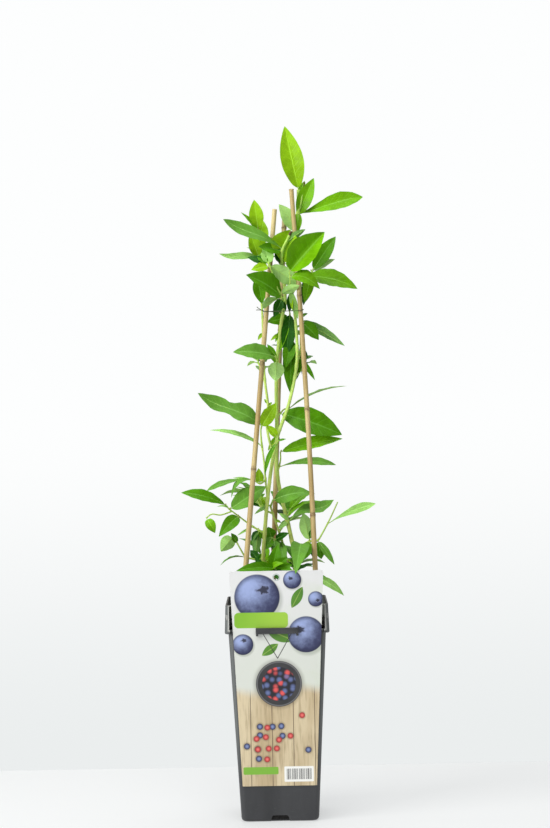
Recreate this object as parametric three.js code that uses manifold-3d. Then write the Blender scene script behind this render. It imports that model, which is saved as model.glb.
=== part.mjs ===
// A young blueberry bush in a tall square nursery pot. Green stems rise from the potting mix between
// three bamboo canes, which lean together and are held by one loop of tie wire. A printed card hangs
// on a bar on the pot's front. Millimetres, +Z up, +Y away from the card; the origin is the middle of
// the pot's flat underside.
import * as THREE from 'three';
import { mergeVertices } from 'three/addons/utils/BufferGeometryUtils.js';
import Module from 'manifold-3d';

const wasm = await Module();
wasm.setup();

// ---------------------------------------------------------------- driving dimensions

const GAP = 0.3; // between pieces that touch

const POT = {
  footHalf: 42.1, // half width of the outside at the table
  flare: 0.0508, // growth of that half width for each mm of height
  height: 235.5,
  wall: 1.8,
  floor: 2.2,
  cornerRadius: 8,
  footRounding: 4.5,
  collarBottom: 204.5,
  collarHalfLow: 56.3,
  collarHalfHigh: 55.2,
  recessHalf: 50.5, // half width of the collar's gap for the card
  notch: [[10.4, 0], [9, 5.4], [7.4, 7]], // half widths and heights of the drain in each foot edge
  pocket: { left: 52.8, right: 55, bottom: 219.5, top: 225.5, depth: 3 },
  slot: { left: 47.6, right: 51.4, bottom: 209, top: 234.2, depth: 9 }, // beside the card, both sides
};

const BAR = { half: 22.8, bottom: 204.5, top: 210.8, thick: 3, leg: 2.4, legHeight: 4, hook: 2.2 };

const CARD = {
  thick: 0.7,
  bottom: 39.4,
  top: 272,
  bottomHalf: 40,
  topHalf: 50.4,
  cornerRadius: 2,
  holeHeight: 265,
  holeRadius: 2.8,
  tongueHalf: 15,
  tongueTop: 203.8,
  tonguePoint: 177.6,
  slit: 0.5,
};

const MIX_TOP = 215; // the potting mix, level

const CANE = { footRadius: 3.1, tipRadius: 2.6, length: 510, sides: 10 };
const WIRE = { radius: 0.55, height: 553, endLength: 7 };

const LEAF = {
  stations: [0.22, 0.5, 0.8], // shares of the length with a full ring of points
  longStations: [0.2, 0.42, 0.66, 0.86],
  long: 45, // a leaf of this length or more has the longer list
  thickness: 0.016, // of the length, at the midrib
  fold: 16, // degrees that each half of the blade is raised
  stalkHalf: 0.65,
  sunk: 1.2, // depth of the stalk's root past the twig's axis
  reach: 1.5, // where the stalk leaves the twig
};

const LIMB_SIDES = 6;
const TWIG = { rootRadius: 1.25, tipRadius: 0.7, sides: 5, sideRadius: 0.8 };
const GOLDEN_ANGLE = 137.5;

// ---------------------------------------------------------------- solids

function toSolid(geometry) {
  const bare = geometry.clone();
  bare.deleteAttribute('normal');
  bare.deleteAttribute('uv');
  const welded = mergeVertices(bare, 1e-5);
  return new wasm.Manifold(new wasm.Mesh({
    numProp: 3,
    vertProperties: welded.attributes.position.array,
    triVerts: new Uint32Array(welded.index.array),
  }));
}

function toGeometry(solid) {
  const { vertProperties, triVerts } = solid.getMesh();
  const geometry = new THREE.BufferGeometry();
  geometry.setAttribute('position', new THREE.BufferAttribute(vertProperties, 3));
  geometry.setIndex(new THREE.BufferAttribute(triVerts, 1));
  geometry.computeVertexNormals();
  return geometry;
}

const joined = (solids) => solids.reduce((whole, solid) => whole.add(solid));
const touches = (a, b) => a.intersect(b).volume() > 1e-7;
const largestPiece = (solid) => solid.decompose().reduce((a, b) => (b.volume() > a.volume() ? b : a));

function block(width, depth, height, x, y, z) {
  return toSolid(new THREE.BoxGeometry(width, depth, height).translate(x, y, z));
}

function bend(geometry, place) {
  const positions = geometry.attributes.position;
  const point = new THREE.Vector3();
  for (let i = 0; i < positions.count; i += 1) {
    point.fromBufferAttribute(positions, i);
    place(point, i);
    positions.setXYZ(i, point.x, point.y, point.z);
  }
  return geometry;
}

// ---------------------------------------------------------------- pot, mix and card

const potHalf = (z) => POT.footHalf + POT.flare * z;
const wallTilt = Math.atan(POT.flare);

function roundedSquare(half, radius) {
  const shape = new THREE.Shape();
  const straight = half - radius;
  shape.absarc(straight, straight, radius, 0, Math.PI / 2);
  shape.absarc(-straight, straight, radius, Math.PI / 2, Math.PI);
  shape.absarc(-straight, -straight, radius, Math.PI, Math.PI * 1.5);
  shape.absarc(straight, -straight, radius, Math.PI * 1.5, Math.PI * 2);
  return shape;
}

// A stack of rounded squares, each level given as [height, half width].
function squareLoft(levels, radius) {
  const widest = Math.max(...levels.map((level) => level[1]));
  const steps = levels.length - 1;
  const stack = new THREE.ExtrudeGeometry(roundedSquare(widest, radius), {
    depth: steps,
    steps,
    bevelEnabled: false,
    curveSegments: 4,
  });
  return toSolid(bend(stack, (point) => {
    const [z, half] = levels[Math.round(point.z)];
    point.x *= half / widest;
    point.y *= half / widest;
    point.z = z;
  }));
}

// The room inside the pot, up to a height, drawn in by an inset on every side.
function potRoom(inset, top) {
  const shrink = POT.wall + inset;
  const base = POT.floor + inset;
  const shoulder = POT.collarBottom + POT.wall + inset;
  const radius = POT.cornerRadius - shrink;
  const shaft = squareLoft([[base, potHalf(base) - shrink], [top, potHalf(top) - shrink]], radius);
  const [low, high] = [POT.collarHalfLow - shrink, POT.collarHalfHigh - shrink];
  const collar = squareLoft([[shoulder, low], [top, high]], radius);
  const depth = 20;
  const front = block(200, depth, 200, 0, -POT.recessHalf + POT.wall + inset - depth / 2, POT.height);
  return shaft.add(collar.subtract(front));
}

// A box on the front wall: x across, up along the wall, out from its surface.
function onFrontWall(width, height, thick, x, middle, out) {
  const box = new THREE.BoxGeometry(width, height, thick);
  box.translate(x, middle / Math.cos(wallTilt), out + thick / 2);
  return toSolid(box.applyMatrix4(frontWall));
}

const frontWall = new THREE.Matrix4().makeBasis(
  new THREE.Vector3(1, 0, 0),
  new THREE.Vector3(0, -Math.sin(wallTilt), Math.cos(wallTilt)),
  new THREE.Vector3(0, -Math.cos(wallTilt), -Math.sin(wallTilt)),
).setPosition(0, -POT.footHalf, 0);

// A drain in the middle of a foot edge, as a prism through the front wall.
function notchSolid() {
  const corners = [...POT.notch, ...POT.notch.toReversed().map(([half, z]) => [-half, z])];
  const outline = new THREE.Shape([...corners, [-POT.notch[0][0], -1], [POT.notch[0][0], -1]]
    .map(([x, z]) => new THREE.Vector2(x, z)));
  const prism = new THREE.ExtrudeGeometry(outline, { depth: 12, bevelEnabled: false });
  return toSolid(prism.rotateX(Math.PI / 2).translate(0, 6 - potHalf(0), 0));
}

function potSolid() {
  const rounding = POT.footRounding;
  const footArc = [0, 30, 60, 90].map(THREE.MathUtils.degToRad).map((angle) => [
    rounding * (1 - Math.cos(angle)),
    potHalf(0) - rounding * (1 - Math.sin(angle)),
  ]);
  const body = squareLoft([...footArc, [POT.height, potHalf(POT.height)]], POT.cornerRadius);
  const collar = squareLoft([
    [POT.collarBottom, POT.collarHalfLow - 0.8],
    [POT.collarBottom + 1, POT.collarHalfLow],
    [POT.height - 0.6, POT.collarHalfHigh],
    [POT.height, POT.collarHalfHigh - 0.6],
  ], POT.cornerRadius - 2);
  const recess = block(2 * POT.recessHalf, 20, 100, 0, -POT.recessHalf - 9.5, POT.height);
  let pot = body.add(collar.subtract(recess)).subtract(potRoom(0, POT.height + 1));

  const out = GAP + CARD.thick + GAP;
  const barMiddle = (BAR.bottom + BAR.top) / 2;
  pot = pot.add(onFrontWall(2 * BAR.half, BAR.top - BAR.bottom, BAR.thick, 0, barMiddle, out));
  for (const side of [-1, 1]) {
    const legX = side * (BAR.half - BAR.leg / 2);
    pot = pot.add(onFrontWall(BAR.leg, BAR.legHeight, out + 2, legX, barMiddle, -1));
    pot = pot.add(onFrontWall(BAR.leg, 2 * BAR.hook, BAR.thick, legX, BAR.bottom, out));
    for (const { left, right, bottom, top, depth } of [POT.pocket, POT.slot]) {
      const across = side * (left + right) / 2;
      const middle = (top + bottom) / 2;
      pot = pot.subtract(block(right - left, 2 * depth, top - bottom, across, -POT.collarHalfHigh, middle));
    }
  }
  for (let side = 0; side < 4; side += 1) {
    pot = pot.subtract(notchSolid().rotate([0, 0, 90 * side]));
  }
  return pot;
}

// A box on the front wall, turned in its plane and running from one point to another: [across, up].
function slitOnFrontWall(from, to, width) {
  const rise = (to[1] - from[1]) / Math.cos(wallTilt);
  const length = Math.hypot(to[0] - from[0], rise);
  const box = new THREE.BoxGeometry(length + width, width, 3 * CARD.thick);
  box.rotateZ(Math.atan2(rise, to[0] - from[0]));
  box.translate((from[0] + to[0]) / 2, (from[1] + to[1]) / 2 / Math.cos(wallTilt), CARD.thick);
  return toSolid(box.applyMatrix4(frontWall));
}

function cardSolid() {
  const up = (z) => z / Math.cos(wallTilt);
  const outline = new THREE.Shape();
  const r = CARD.cornerRadius;
  outline.moveTo(-CARD.bottomHalf, up(CARD.bottom));
  outline.lineTo(CARD.bottomHalf, up(CARD.bottom));
  outline.absarc(CARD.topHalf - r, up(CARD.top) - r, r, 0, Math.PI / 2);
  outline.absarc(-CARD.topHalf + r, up(CARD.top) - r, r, Math.PI / 2, Math.PI);
  const options = { depth: CARD.thick, bevelEnabled: false, curveSegments: 4 };
  const sheet = new THREE.ExtrudeGeometry(outline, options).translate(0, 0, GAP);
  let card = toSolid(sheet.applyMatrix4(frontWall));

  const punch = new THREE.CylinderGeometry(CARD.holeRadius, CARD.holeRadius, 3 * CARD.thick, 20);
  punch.rotateX(Math.PI / 2).translate(0, up(CARD.holeHeight), CARD.thick);
  card = card.subtract(toSolid(punch.applyMatrix4(frontWall)));
  for (const side of [-1, 1]) {
    const tip = [0, CARD.tonguePoint];
    card = card.subtract(slitOnFrontWall([side * CARD.tongueHalf, CARD.tongueTop], tip, CARD.slit));
    const wide = BAR.leg + 2 * GAP;
    const high = BAR.legHeight + 2 * GAP;
    const legX = side * (BAR.half - BAR.leg / 2);
    const middle = (BAR.bottom + BAR.top) / 2;
    card = card.subtract(onFrontWall(wide, high, 3 * CARD.thick, legX, middle, -CARD.thick / 2));
  }
  return card;
}

// ---------------------------------------------------------------- limbs

const vector = (point) => new THREE.Vector3(...point);
const curveThrough = (points) => new THREE.CatmullRomCurve3(points.map(vector), false, 'catmullrom', 0.5);

// A round limb along a curve, its radius running evenly from foot to tip. Grown by a clearance, it is
// thicker and longer by that much, to cut the room that a neighbour keeps.
function limbSolid(curve, footRadius, tipRadius, sides, rings, clearance = 0) {
  const frames = curve.computeFrenetFrames(rings, false);
  const side = new THREE.Vector3();
  const tube = new THREE.CylinderGeometry(1, 1, 1, sides, rings);
  return toSolid(bend(tube, (point) => {
    const ring = Math.round((point.y + 0.5) * rings);
    const along = ring / rings;
    const radius = clearance + footRadius + (tipRadius - footRadius) * along;
    side.copy(frames.normals[ring]).multiplyScalar(point.x * radius);
    side.addScaledVector(frames.binormals[ring], -point.z * radius);
    if (ring === 0) side.addScaledVector(frames.tangents[ring], -clearance);
    if (ring === rings) side.addScaledVector(frames.tangents[ring], clearance);
    point.copy(curve.getPointAt(along)).add(side);
  }));
}

function atHeight(curve, z) {
  let low = 0;
  let high = 1;
  for (let i = 0; i < 40; i += 1) {
    const middle = (low + high) / 2;
    if (curve.getPointAt(middle).z < z) low = middle;
    else high = middle;
  }
  return curve.getPointAt((low + high) / 2);
}

// The stems that come out of the mix, and the two boughs that part from the tall one.
const STEMS = [
  {
    name: 'stem_tall', footRadius: 2.3, tipRadius: 1.5,
    path: [[-17, -6, 215.3], [-15, -6, 272], [-7, -7, 355], [3, -6, 411], [18, -4, 454], [27, -2, 500],
      [25.5, 0, 550], [22, 2, 576], [29.5, 2, 614]],
  },
  {
    name: 'stem_crossing', footRadius: 2.3, tipRadius: 1.8,
    path: [[26, -2, 215.3], [19, 1, 293], [3.5, 5, 370], [3.5, 4, 430], [4.4, 3, 490], [10, 3, 538],
      [15, 4, 565], [14, 4, 592]],
  },
  { name: 'stem_low', footRadius: 1.5, tipRadius: 1, path: [[18, 14, 215.3], [11, 10, 283], [-5, 5, 338]] },
];

const BOUGHS = [
  {
    name: 'bough_left', limb: 'stem_tall', height: 394, footRadius: 1.5, tipRadius: 1.1,
    path: [[-7, 0, 423], [-5.7, 2, 448], [-9.3, 3, 486], [-10.2, 3, 545], [-12.9, 2, 606]],
  },
  {
    name: 'bough_thin', limb: 'stem_tall', height: 347, footRadius: 1.1, tipRadius: 0.9,
    path: [[-10, -3, 368], [-11, -1, 385], [-13, -1, 403]],
  },
];

// ---------------------------------------------------------------- canes and tie wire

// Each cane by the place of its top, the place where it enters the mix and its bow to the side.
const CANES = [
  { name: 'cane_left', top: [5.3, -6, 664.5], ground: [-38.7, -30, MIX_TOP], bow: 0 },
  { name: 'cane_right', top: [23.9, -8, 686], ground: [43.2, -32, MIX_TOP], bow: 3 },
  { name: 'cane_back', top: [16.3, 14, 664], ground: [-4.5, 36, MIX_TOP], bow: -1.2 },
];

function caneCurve({ top, ground, bow }) {
  const high = vector(top);
  const down = vector(ground).sub(high).normalize();
  const points = [0, 0.25, 0.5, 0.75, 1].map((share) => {
    const point = high.clone().addScaledVector(down, CANE.length * (1 - share));
    point.x += bow * Math.sin(Math.PI * share);
    return point.toArray();
  });
  return curveThrough(points);
}

// One loop round the canes: for each way out from the middle, the cane that lies farthest that way.
function wireSolid(canes) {
  const ring = 10;
  const clear = CANE.footRadius + GAP + WIRE.radius;
  const centres = canes.map((cane) => atHeight(cane.curve, WIRE.height));
  const torus = new THREE.TorusGeometry(ring, WIRE.radius, 6, 24);
  const loop = toSolid(bend(torus, (point) => {
    const angle = Math.round(Math.atan2(point.y, point.x) / (Math.PI / 12)) * (Math.PI / 12);
    const out = new THREE.Vector3(Math.cos(angle), Math.sin(angle), 0);
    const far = centres.reduce((a, b) => (b.dot(out) > a.dot(out) ? b : a));
    const reach = clear + Math.hypot(point.x, point.y) - ring;
    point.set(far.x + out.x * reach, far.y + out.y * reach, WIRE.height + point.z);
  }));
  const twist = new THREE.Vector3(-clear, -1, 0).add(centres[0]);
  const ends = [[-0.8, -0.2, 0.55], [-0.95, -0.3, 0.1]].map((way) => {
    const stop = vector(way).multiplyScalar(WIRE.endLength).add(twist).toArray();
    return limbSolid(curveThrough([twist.toArray(), stop]), WIRE.radius, WIRE.radius * 0.8, 5, 2);
  });
  return joined([loop, ...ends]);
}

// ---------------------------------------------------------------- leaves and twigs

// A small seeded generator, so that every run grows the same plant.
function seeded(seed) {
  let state = seed;
  return () => {
    state = (state + 0x6d2b79f5) >>> 0;
    let mixed = Math.imul(state ^ (state >>> 15), state | 1);
    mixed = (mixed + Math.imul(mixed ^ (mixed >>> 7), mixed | 61)) ^ mixed;
    return ((mixed ^ (mixed >>> 14)) >>> 0) / 4294967296;
  };
}

const radians = THREE.MathUtils.degToRad;

function direction(heading, rise) {
  const level = Math.cos(radians(rise));
  return new THREE.Vector3(
    level * Math.cos(radians(heading)), level * Math.sin(radians(heading)), Math.sin(radians(rise)),
  );
}

// Half the width of a blade as a share of its widest, at a share of its length.
const bladeShape = (share, late) => Math.sin(Math.PI * share ** late) ** 0.85;

// A leaf is a closed blade of four-cornered rings: two edges, an upper and a lower midrib. Its midrib
// is a line from twig to tip, arched towards its upper side and waved; its face turns by the twist.
function leafSolid(root, leaf) {
  const along = direction(leaf.heading, leaf.rise);
  const facing = new THREE.Vector3(0, -Math.sin(radians(leaf.facing)), Math.cos(radians(leaf.facing)));
  const upper = facing.addScaledVector(along, -along.dot(facing)).normalize();
  const stalk = LEAF.reach / leaf.length;
  const stations = leaf.length < LEAF.long ? LEAF.stations : LEAF.longStations;
  const shares = [1, ...stations.toReversed(), stalk, -LEAF.sunk / leaf.length];
  const columns = 5;
  const ball = new THREE.SphereGeometry(1, 4, shares.length - 1);
  const corners = [[-1, 0], [0, 1], [1, 0], [0, -1], [-1, 0]];
  return toSolid(bend(ball, (point, index) => {
    const row = Math.floor(index / columns);
    const share = shares[row];
    const [wide, high] = corners[index % columns];
    const pole = row === 0 || row === shares.length - 1;
    const blade = row < shares.length - 2;
    const inside = THREE.MathUtils.clamp(share, 0, 1);
    const widest = blade ? leaf.width / 2 : 0;
    const half = Math.max(LEAF.stalkHalf, widest * bladeShape(inside, leaf.late));
    const thick = Math.max(LEAF.stalkHalf * 0.8, leaf.length * LEAF.thickness / 2);
    const normal = upper.clone().applyAxisAngle(along, radians(leaf.twist) * (inside - 0.5));
    const across = along.clone().cross(normal);
    const lift = leaf.arch * 4 * inside * (1 - inside) + leaf.wave * Math.sin(2 * Math.PI * inside);
    point.copy(root).addScaledVector(along, leaf.length * share).addScaledVector(upper, leaf.length * lift);
    if (pole) return;
    const raised = blade ? Math.abs(wide) * half * Math.tan(radians(leaf.fold)) : 0;
    point.addScaledVector(across, wide * half).addScaledVector(normal, high * thick + raised);
  }));
}

// A leaf by the place on its twig (0 to 1), the heading of its tip (0 is +X, 90 is +Y), its rise above
// level, length and width, the way its upper side faces (0 up, 90 to the front, negative to the back)
// and its arch as a share of its length.
function leaf(place, heading, rise, length, width, facing, arch = 0.05, more = {}) {
  const usual = { fold: LEAF.fold, wave: 0, twist: 0, late: 0.9 };
  return { place, heading, rise, length, width, facing, arch, ...usual, ...more };
}

// The leaves that a shoot grows by rule: one after another up the twig, each a golden angle on from the
// last within the shoot's spread to both sides of its heading.
function ruledLeaves({ seed, count, heading, spread, rise, length }) {
  const random = seeded(seed);
  const leaves = [];
  for (let k = 0; k < count; k += 1) {
    const turn = ((k * GOLDEN_ANGLE) % 360) / 180 - 1;
    const size = length * (0.75 + 0.5 * random());
    leaves.push(leaf(
      Math.min(1, 0.3 + 0.7 * (k + 1) / count),
      heading + turn * spread + 20 * (random() - 0.5),
      rise + 40 * (random() - 0.5),
      size,
      size * (0.32 + 0.08 * random()),
      -25 + 50 * random(),
      0.04 + 0.1 * random(),
    ));
  }
  return leaves;
}

// Each mass of leaves: the limb and height it starts from, how thick its twig is as a share of the usual
// one, the twig's further points, its leaves, side twigs with leaves of their own, and the leaves that
// it grows by rule.
const SHOOTS = [
  {
    name: 'foliage_tip', limb: 'stem_tall', height: 614, thick: 1.7,
    twig: [[30, 1, 637], [31, 0, 662], [31.7, -1, 686]],
    leaves: [
      leaf(1, -161, 78, 71, 25, 84, 0.03, { fold: 26, wave: 0.02 }),
      leaf(0.6, -10, 66, 45, 17, 78, 0.04, { fold: 22 }),
      leaf(0.84, 58, 57, 27, 8, 60),
      leaf(0.63, 2, 14, 74, 20, 70, 0.05, { late: 1.6, wave: -0.02 }),
      leaf(0.66, -97, -75, 24, 9, 80, 0.1, { fold: 20 }),
      leaf(0.36, 172, 57, 37, 15, -60),
    ],
  },
  {
    name: 'foliage_upper_left', limb: 'bough_left', height: 606,
    twig: [[-13, 1, 626], [-13.3, 0, 643]],
    leaves: [
      leaf(1, -127, 79, 33, 16, 85),
      leaf(0.87, -156, 49, 31, 7, 40, 0.05, { fold: 35 }),
      leaf(0.45, 52, 74, 32, 17, 80),
      leaf(0.18, -140, 65, 29, 14, 80),
      leaf(0.12, -170, 8, 48, 10, 30),
      leaf(0.2, 28, -2, 15, 10, 50),
    ],
  },
  {
    name: 'foliage_upper_front', limb: 'stem_crossing', height: 592, thick: 1.3,
    twig: [[12, -4, 605], [13, -11, 619], [18, -15, 629], [23, -18, 639]],
    leaves: [
      leaf(0.59, -171, 27, 73, 15, 68, 0.03, { fold: 20, wave: 0.05, late: 1.3 }),
      leaf(0.55, -166, 11, 27, 12, 70),
      leaf(0.3, -46, 68, 38, 33, 78, 0.02, { fold: 34, late: 1.35 }),
      leaf(0.75, -26, 29, 27, 9, -60),
    ],
  },
  {
    name: 'foliage_right_head', limb: 'stem_tall', height: 570,
    twig: [[30, 3, 583], [39, 4, 591], [46, 4, 597]],
    leaves: [
      leaf(1, 9, 55, 46, 17, 75),
      leaf(1, 22, 26, 30, 9, -60),
      leaf(0.75, -6, -15, 58, 22, 60, 0.12),
      leaf(0.96, 167, -76, 35, 12, 90),
      leaf(0.73, 111, -74, 32, 9, 85),
    ],
  },
  {
    name: 'foliage_front_head', limb: 'stem_tall', height: 574,
    twig: [[20, -12, 578], [21, -20, 587], [20, -23, 594]],
    leaves: [
      leaf(1, -10, 47, 58, 30, 74, 0.04, { fold: 42 }),
      leaf(0.84, -16, -23, 36, 17, 60, 0.3),
    ],
  },
  {
    name: 'foliage_left_head', limb: 'stem_crossing', height: 561,
    twig: [[11, -8, 569], [6, -14, 579], [1, -17, 595], [-3, -18, 606]],
    leaves: [
      leaf(0.23, -144, 26, 53, 26, 60, 0.08),
      leaf(0.91, -168, -11, 21, 11, 65),
      leaf(0.96, 15, -33, 43, 17, -84, 0.03),
      leaf(0.24, -130, -20, 36, 12, -60, 0.05, { late: 1.7 }),
      leaf(0.32, -33, 18, 26, 10, -70),
      leaf(0.23, 149, -58, 20, 9, 80),
    ],
  },
  {
    name: 'foliage_left_side', limb: 'bough_left', height: 579,
    twig: [[-14, -1, 588], [-16, -3, 596]],
    leaves: [
      leaf(0.77, 13, -81, 31, 15, 90),
    ],
  },
  {
    name: 'foliage_neck_front', limb: 'stem_crossing', height: 493,
    twig: [[5, -10, 497], [4, -24, 502]],
    leaves: [
      leaf(0.99, -168, 7, 48, 20, 60, 0.1, { fold: 20 }),
      leaf(0.68, -161, -85, 23, 18, -85),
      leaf(1, -168, 55, 17, 6, 60),
    ],
  },
  {
    name: 'foliage_neck_back', limb: 'stem_tall', height: 510,
    twig: [[24, 5, 517], [21, 8, 526], [21, 9, 541], [20, 9, 552]],
    leaves: [
      leaf(0.98, -123, -80, 49, 15, 90),
      leaf(0.39, -126, -86, 61, 13, 90),
      leaf(0.36, -128, -69, 34, 14, 80, 0.05, { fold: 24 }),
    ],
  },
  {
    name: 'foliage_neck_right', limb: 'stem_tall', height: 492,
    twig: [[30, 5, 505], [32, 8, 521], [33, 9, 538], [32, 9, 547]],
    leaves: [
      leaf(0.9, -15, -47, 28, 15, 65, 0.1),
      leaf(0.94, 1, -32, 56, 12, -50, 0.02),
      leaf(0.22, -1, -57, 31, 6, 60),
      leaf(0.44, 5, -61, 17, 4, 60),
      leaf(0.98, -32, 25, 10, 5, 50),
    ],
  },
  {
    name: 'foliage_mid_left', limb: 'bough_thin', height: 403,
    twig: [[-14, -1, 414], [-14, -1, 423], [-12, -2, 431]],
    leaves: [
      leaf(0.86, -173, 28, 79, 22, 62, 0.02, { wave: 0.09 }),
      leaf(0.79, -16, 57, 32, 15, 85),
      leaf(0.07, -173, 18, 60, 8, 40, 0.1),
    ],
  },
  {
    name: 'foliage_mid_center', limb: 'stem_tall', height: 405,
    twig: [[4, -10, 409], [4, -12, 414]],
    leaves: [
      leaf(0.97, -179, 52, 18, 9, 60),
      leaf(0.6, -166, -68, 40, 6, 30, 0.15),
      leaf(0.66, -20, 12, 10, 3, 60),
    ],
  },
  {
    name: 'foliage_mid_right', limb: 'stem_crossing', height: 436,
    twig: [[8, 7, 441], [12, 8, 445], [18, 9, 446]],
    leaves: [
      leaf(0.34, -1, -20, 72, 30, 70, 0.08),
      leaf(0.96, 5, 20, 69, 12, -5, 0.08),
    ],
  },
  {
    name: 'foliage_mid_low', limb: 'stem_crossing', height: 376,
    twig: [[5, 7, 381], [7, 8, 390], [7, 8, 398]],
    leaves: [
      leaf(1, 0, 11, 70, 17, 55),
      leaf(0.28, -5, 1, 63, 11, 50, 0.12, { late: 1.6 }),
    ],
  },
  {
    name: 'foliage_low_left', limb: 'stem_tall', height: 309,
    twig: [[-26, -8, 318], [-39, -10, 328], [-50, -14, 337], [-53, -14, 341]],
    leaves: [
      leaf(1, -168, 17, 52, 14, 58, 0.12, { late: 1.2 }),
      leaf(0.89, 7, 31, 47, 21, 68),
      leaf(0.91, -163, 12, 14, 2.5, 60, 0.3),
      leaf(0.64, -141, -36, 35, 15, 75, 0.25),
      leaf(0.28, -173, -28, 20, 3, 60),
      leaf(0.14, 140, -78, 30, 10, -70),
      leaf(0.1, 136, -36, 18, 9, 60),
    ],
    sideTwigs: [{
      place: 0.83, twig: [[-59, -18, 331], [-69, -20, 332], [-75, -21, 328]],
      leaves: [leaf(1, -18, -59, 19, 11, 75, 0.25)],
    }],
  },
  {
    name: 'foliage_low_left_upper', limb: 'bough_thin', height: 368,
    twig: [[-16, -6, 364], [-23, -6, 368], [-27, -7, 369]],
    leaves: [
      leaf(0.89, -169, -13, 52, 9, 40, 0.1, { late: 1.9 }),
      leaf(0.74, -167, -35, 32, 8, 30, 0.35),
      leaf(0.39, -102, 70, 18, 10, 85),
      leaf(0.99, -177, 5, 19, 3, 60),
    ],
  },
  {
    name: 'foliage_foot_left', limb: 'stem_tall', height: 278,
    twig: [[-26, -10, 282], [-33, -12, 284], [-39, -16, 294], [-43, -18, 302], [-47, -18, 310]],
    leaves: [
      leaf(0.77, -146, 56, 14, 7, 60),
      leaf(0.95, 157, -48, 23, 16, -80),
      leaf(0.4, -165, -16, 30, 8, 0, 0.15),
      leaf(0.08, 154, 47, 16, 9, 60),
    ],
  },
  {
    name: 'foliage_low_mid', limb: 'stem_low', height: 338,
    twig: [[-2, -2, 346]],
    leaves: [
      leaf(0.85, -8, 8, 52, 18, 62, 0.2, { twist: 110 }),
      leaf(0.2, 174, -28, 21, 6, 40),
    ],
  },
  {
    name: 'foliage_low_right_upper', limb: 'stem_crossing', height: 318,
    twig: [[15, -3, 323]],
    leaves: [
      leaf(0.8, 163, -28, 14, 6, 60),
      leaf(0.51, 6, 25, 56, 18, 52, 0.08, { wave: 0.12, twist: 60, late: 1.8 }),
      leaf(1, -164, 35, 14, 5, 60),
    ],
  },
  {
    name: 'foliage_low_right', limb: 'stem_crossing', height: 300,
    twig: [[27, 2, 295], [37, 3, 299], [46, 3, 300], [50, 3, 305], [60, 2, 323], [69, 0, 342]],
    leaves: [
      leaf(0.66, -9, 22, 58, 11, 60, 0.1, { late: 2 }),
      leaf(0.15, -97, -23, 68, 20, 70, 0.2),
      leaf(0.28, -113, -46, 27, 12, 85),
      leaf(0.39, -15, -79, 21, 13, 85),
      leaf(0.39, -26, -53, 33, 8, 60),
      leaf(0.28, -134, 73, 33, 14, -80),
    ],
  },
  {
    name: 'foliage_foot_front', limb: 'stem_tall', height: 262,
    twig: [[-9, -14, 267], [0, -20, 271]],
    leaves: [
      leaf(0.99, -147, 1, 51, 13, 60, 0.1),
      leaf(0.94, -37, -2, 24, 12, 60),
      leaf(0.99, -30, 14, 21, 12, 80),
      leaf(0.76, 10, 76, 29, 13, 80),
      leaf(0.36, 168, 56, 22, 8, 70),
    ],
  },
  {
    name: 'foliage_low_center', limb: 'stem_low', height: 301,
    twig: [[0, 6, 301], [-6, 3, 305]],
    leaves: [
      leaf(0.55, -156, 23, 20, 16, 75),
      leaf(0.49, -29, 23, 17, 7, 60),
      leaf(0.42, -135, -32, 17, 9, 60),
      leaf(0.18, -69, -59, 29, 11, 60),
    ],
  },
  {
    name: 'foliage_right_foot', limb: 'stem_crossing', height: 246,
    twig: [[35, 6, 256], [44, 8, 260]],
    leaves: [
      leaf(0.9, -13, -31, 39, 10, 60, 0.2),
      leaf(0.9, -51, 1, 23, 4, 60, 0.2),
    ],
  },
  {
    name: 'foliage_back_top', limb: 'stem_crossing', height: 590,
    twig: [[20, 16, 604], [22, 26, 620]],
    ruled: { seed: 11, count: 6, heading: 80, spread: 75, rise: 35, length: 36 },
  },
  {
    name: 'foliage_back_upper_left', limb: 'bough_left', height: 598,
    twig: [[-8, 14, 606], [-4, 24, 618]],
    ruled: { seed: 32, count: 5, heading: 110, spread: 60, rise: 30, length: 34 },
  },
  {
    name: 'foliage_back_neck', limb: 'stem_crossing', height: 520,
    twig: [[16, 18, 528], [22, 30, 534]],
    ruled: { seed: 13, count: 6, heading: 85, spread: 70, rise: 20, length: 38 },
  },
  {
    name: 'foliage_back_mid_right', limb: 'stem_tall', height: 480,
    twig: [[32, 9, 490], [29, 24, 502]],
    ruled: { seed: 34, count: 6, heading: 95, spread: 40, rise: 25, length: 36 },
  },
  {
    name: 'foliage_back_mid_left', limb: 'bough_left', height: 478,
    twig: [[-14, 12, 492], [-17, 22, 502]],
    ruled: { seed: 15, count: 5, heading: 100, spread: 45, rise: 5, length: 28 },
  },
  {
    name: 'foliage_back_low_right', limb: 'stem_low', height: 310,
    twig: [[10, 20, 318], [16, 32, 332]],
    ruled: { seed: 16, count: 7, heading: 70, spread: 70, rise: 15, length: 38 },
  },
  {
    name: 'foliage_back_low_left', limb: 'stem_low', height: 330,
    twig: [[-14, 18, 336], [-24, 28, 350]],
    ruled: { seed: 17, count: 7, heading: 160, spread: 50, rise: 15, length: 38 },
  },
  {
    name: 'foliage_back_foot_right', limb: 'stem_low', height: 255,
    twig: [[18, 24, 262], [22, 36, 274]],
    ruled: { seed: 18, count: 6, heading: 70, spread: 65, rise: 20, length: 32 },
  },
  {
    name: 'foliage_back_foot_left', limb: 'stem_low', height: 270,
    twig: [[-6, 20, 272], [-16, 30, 282]],
    ruled: { seed: 23, count: 6, heading: 118, spread: 45, rise: 20, length: 27 },
  },
];

// ---------------------------------------------------------------- assembly

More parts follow.
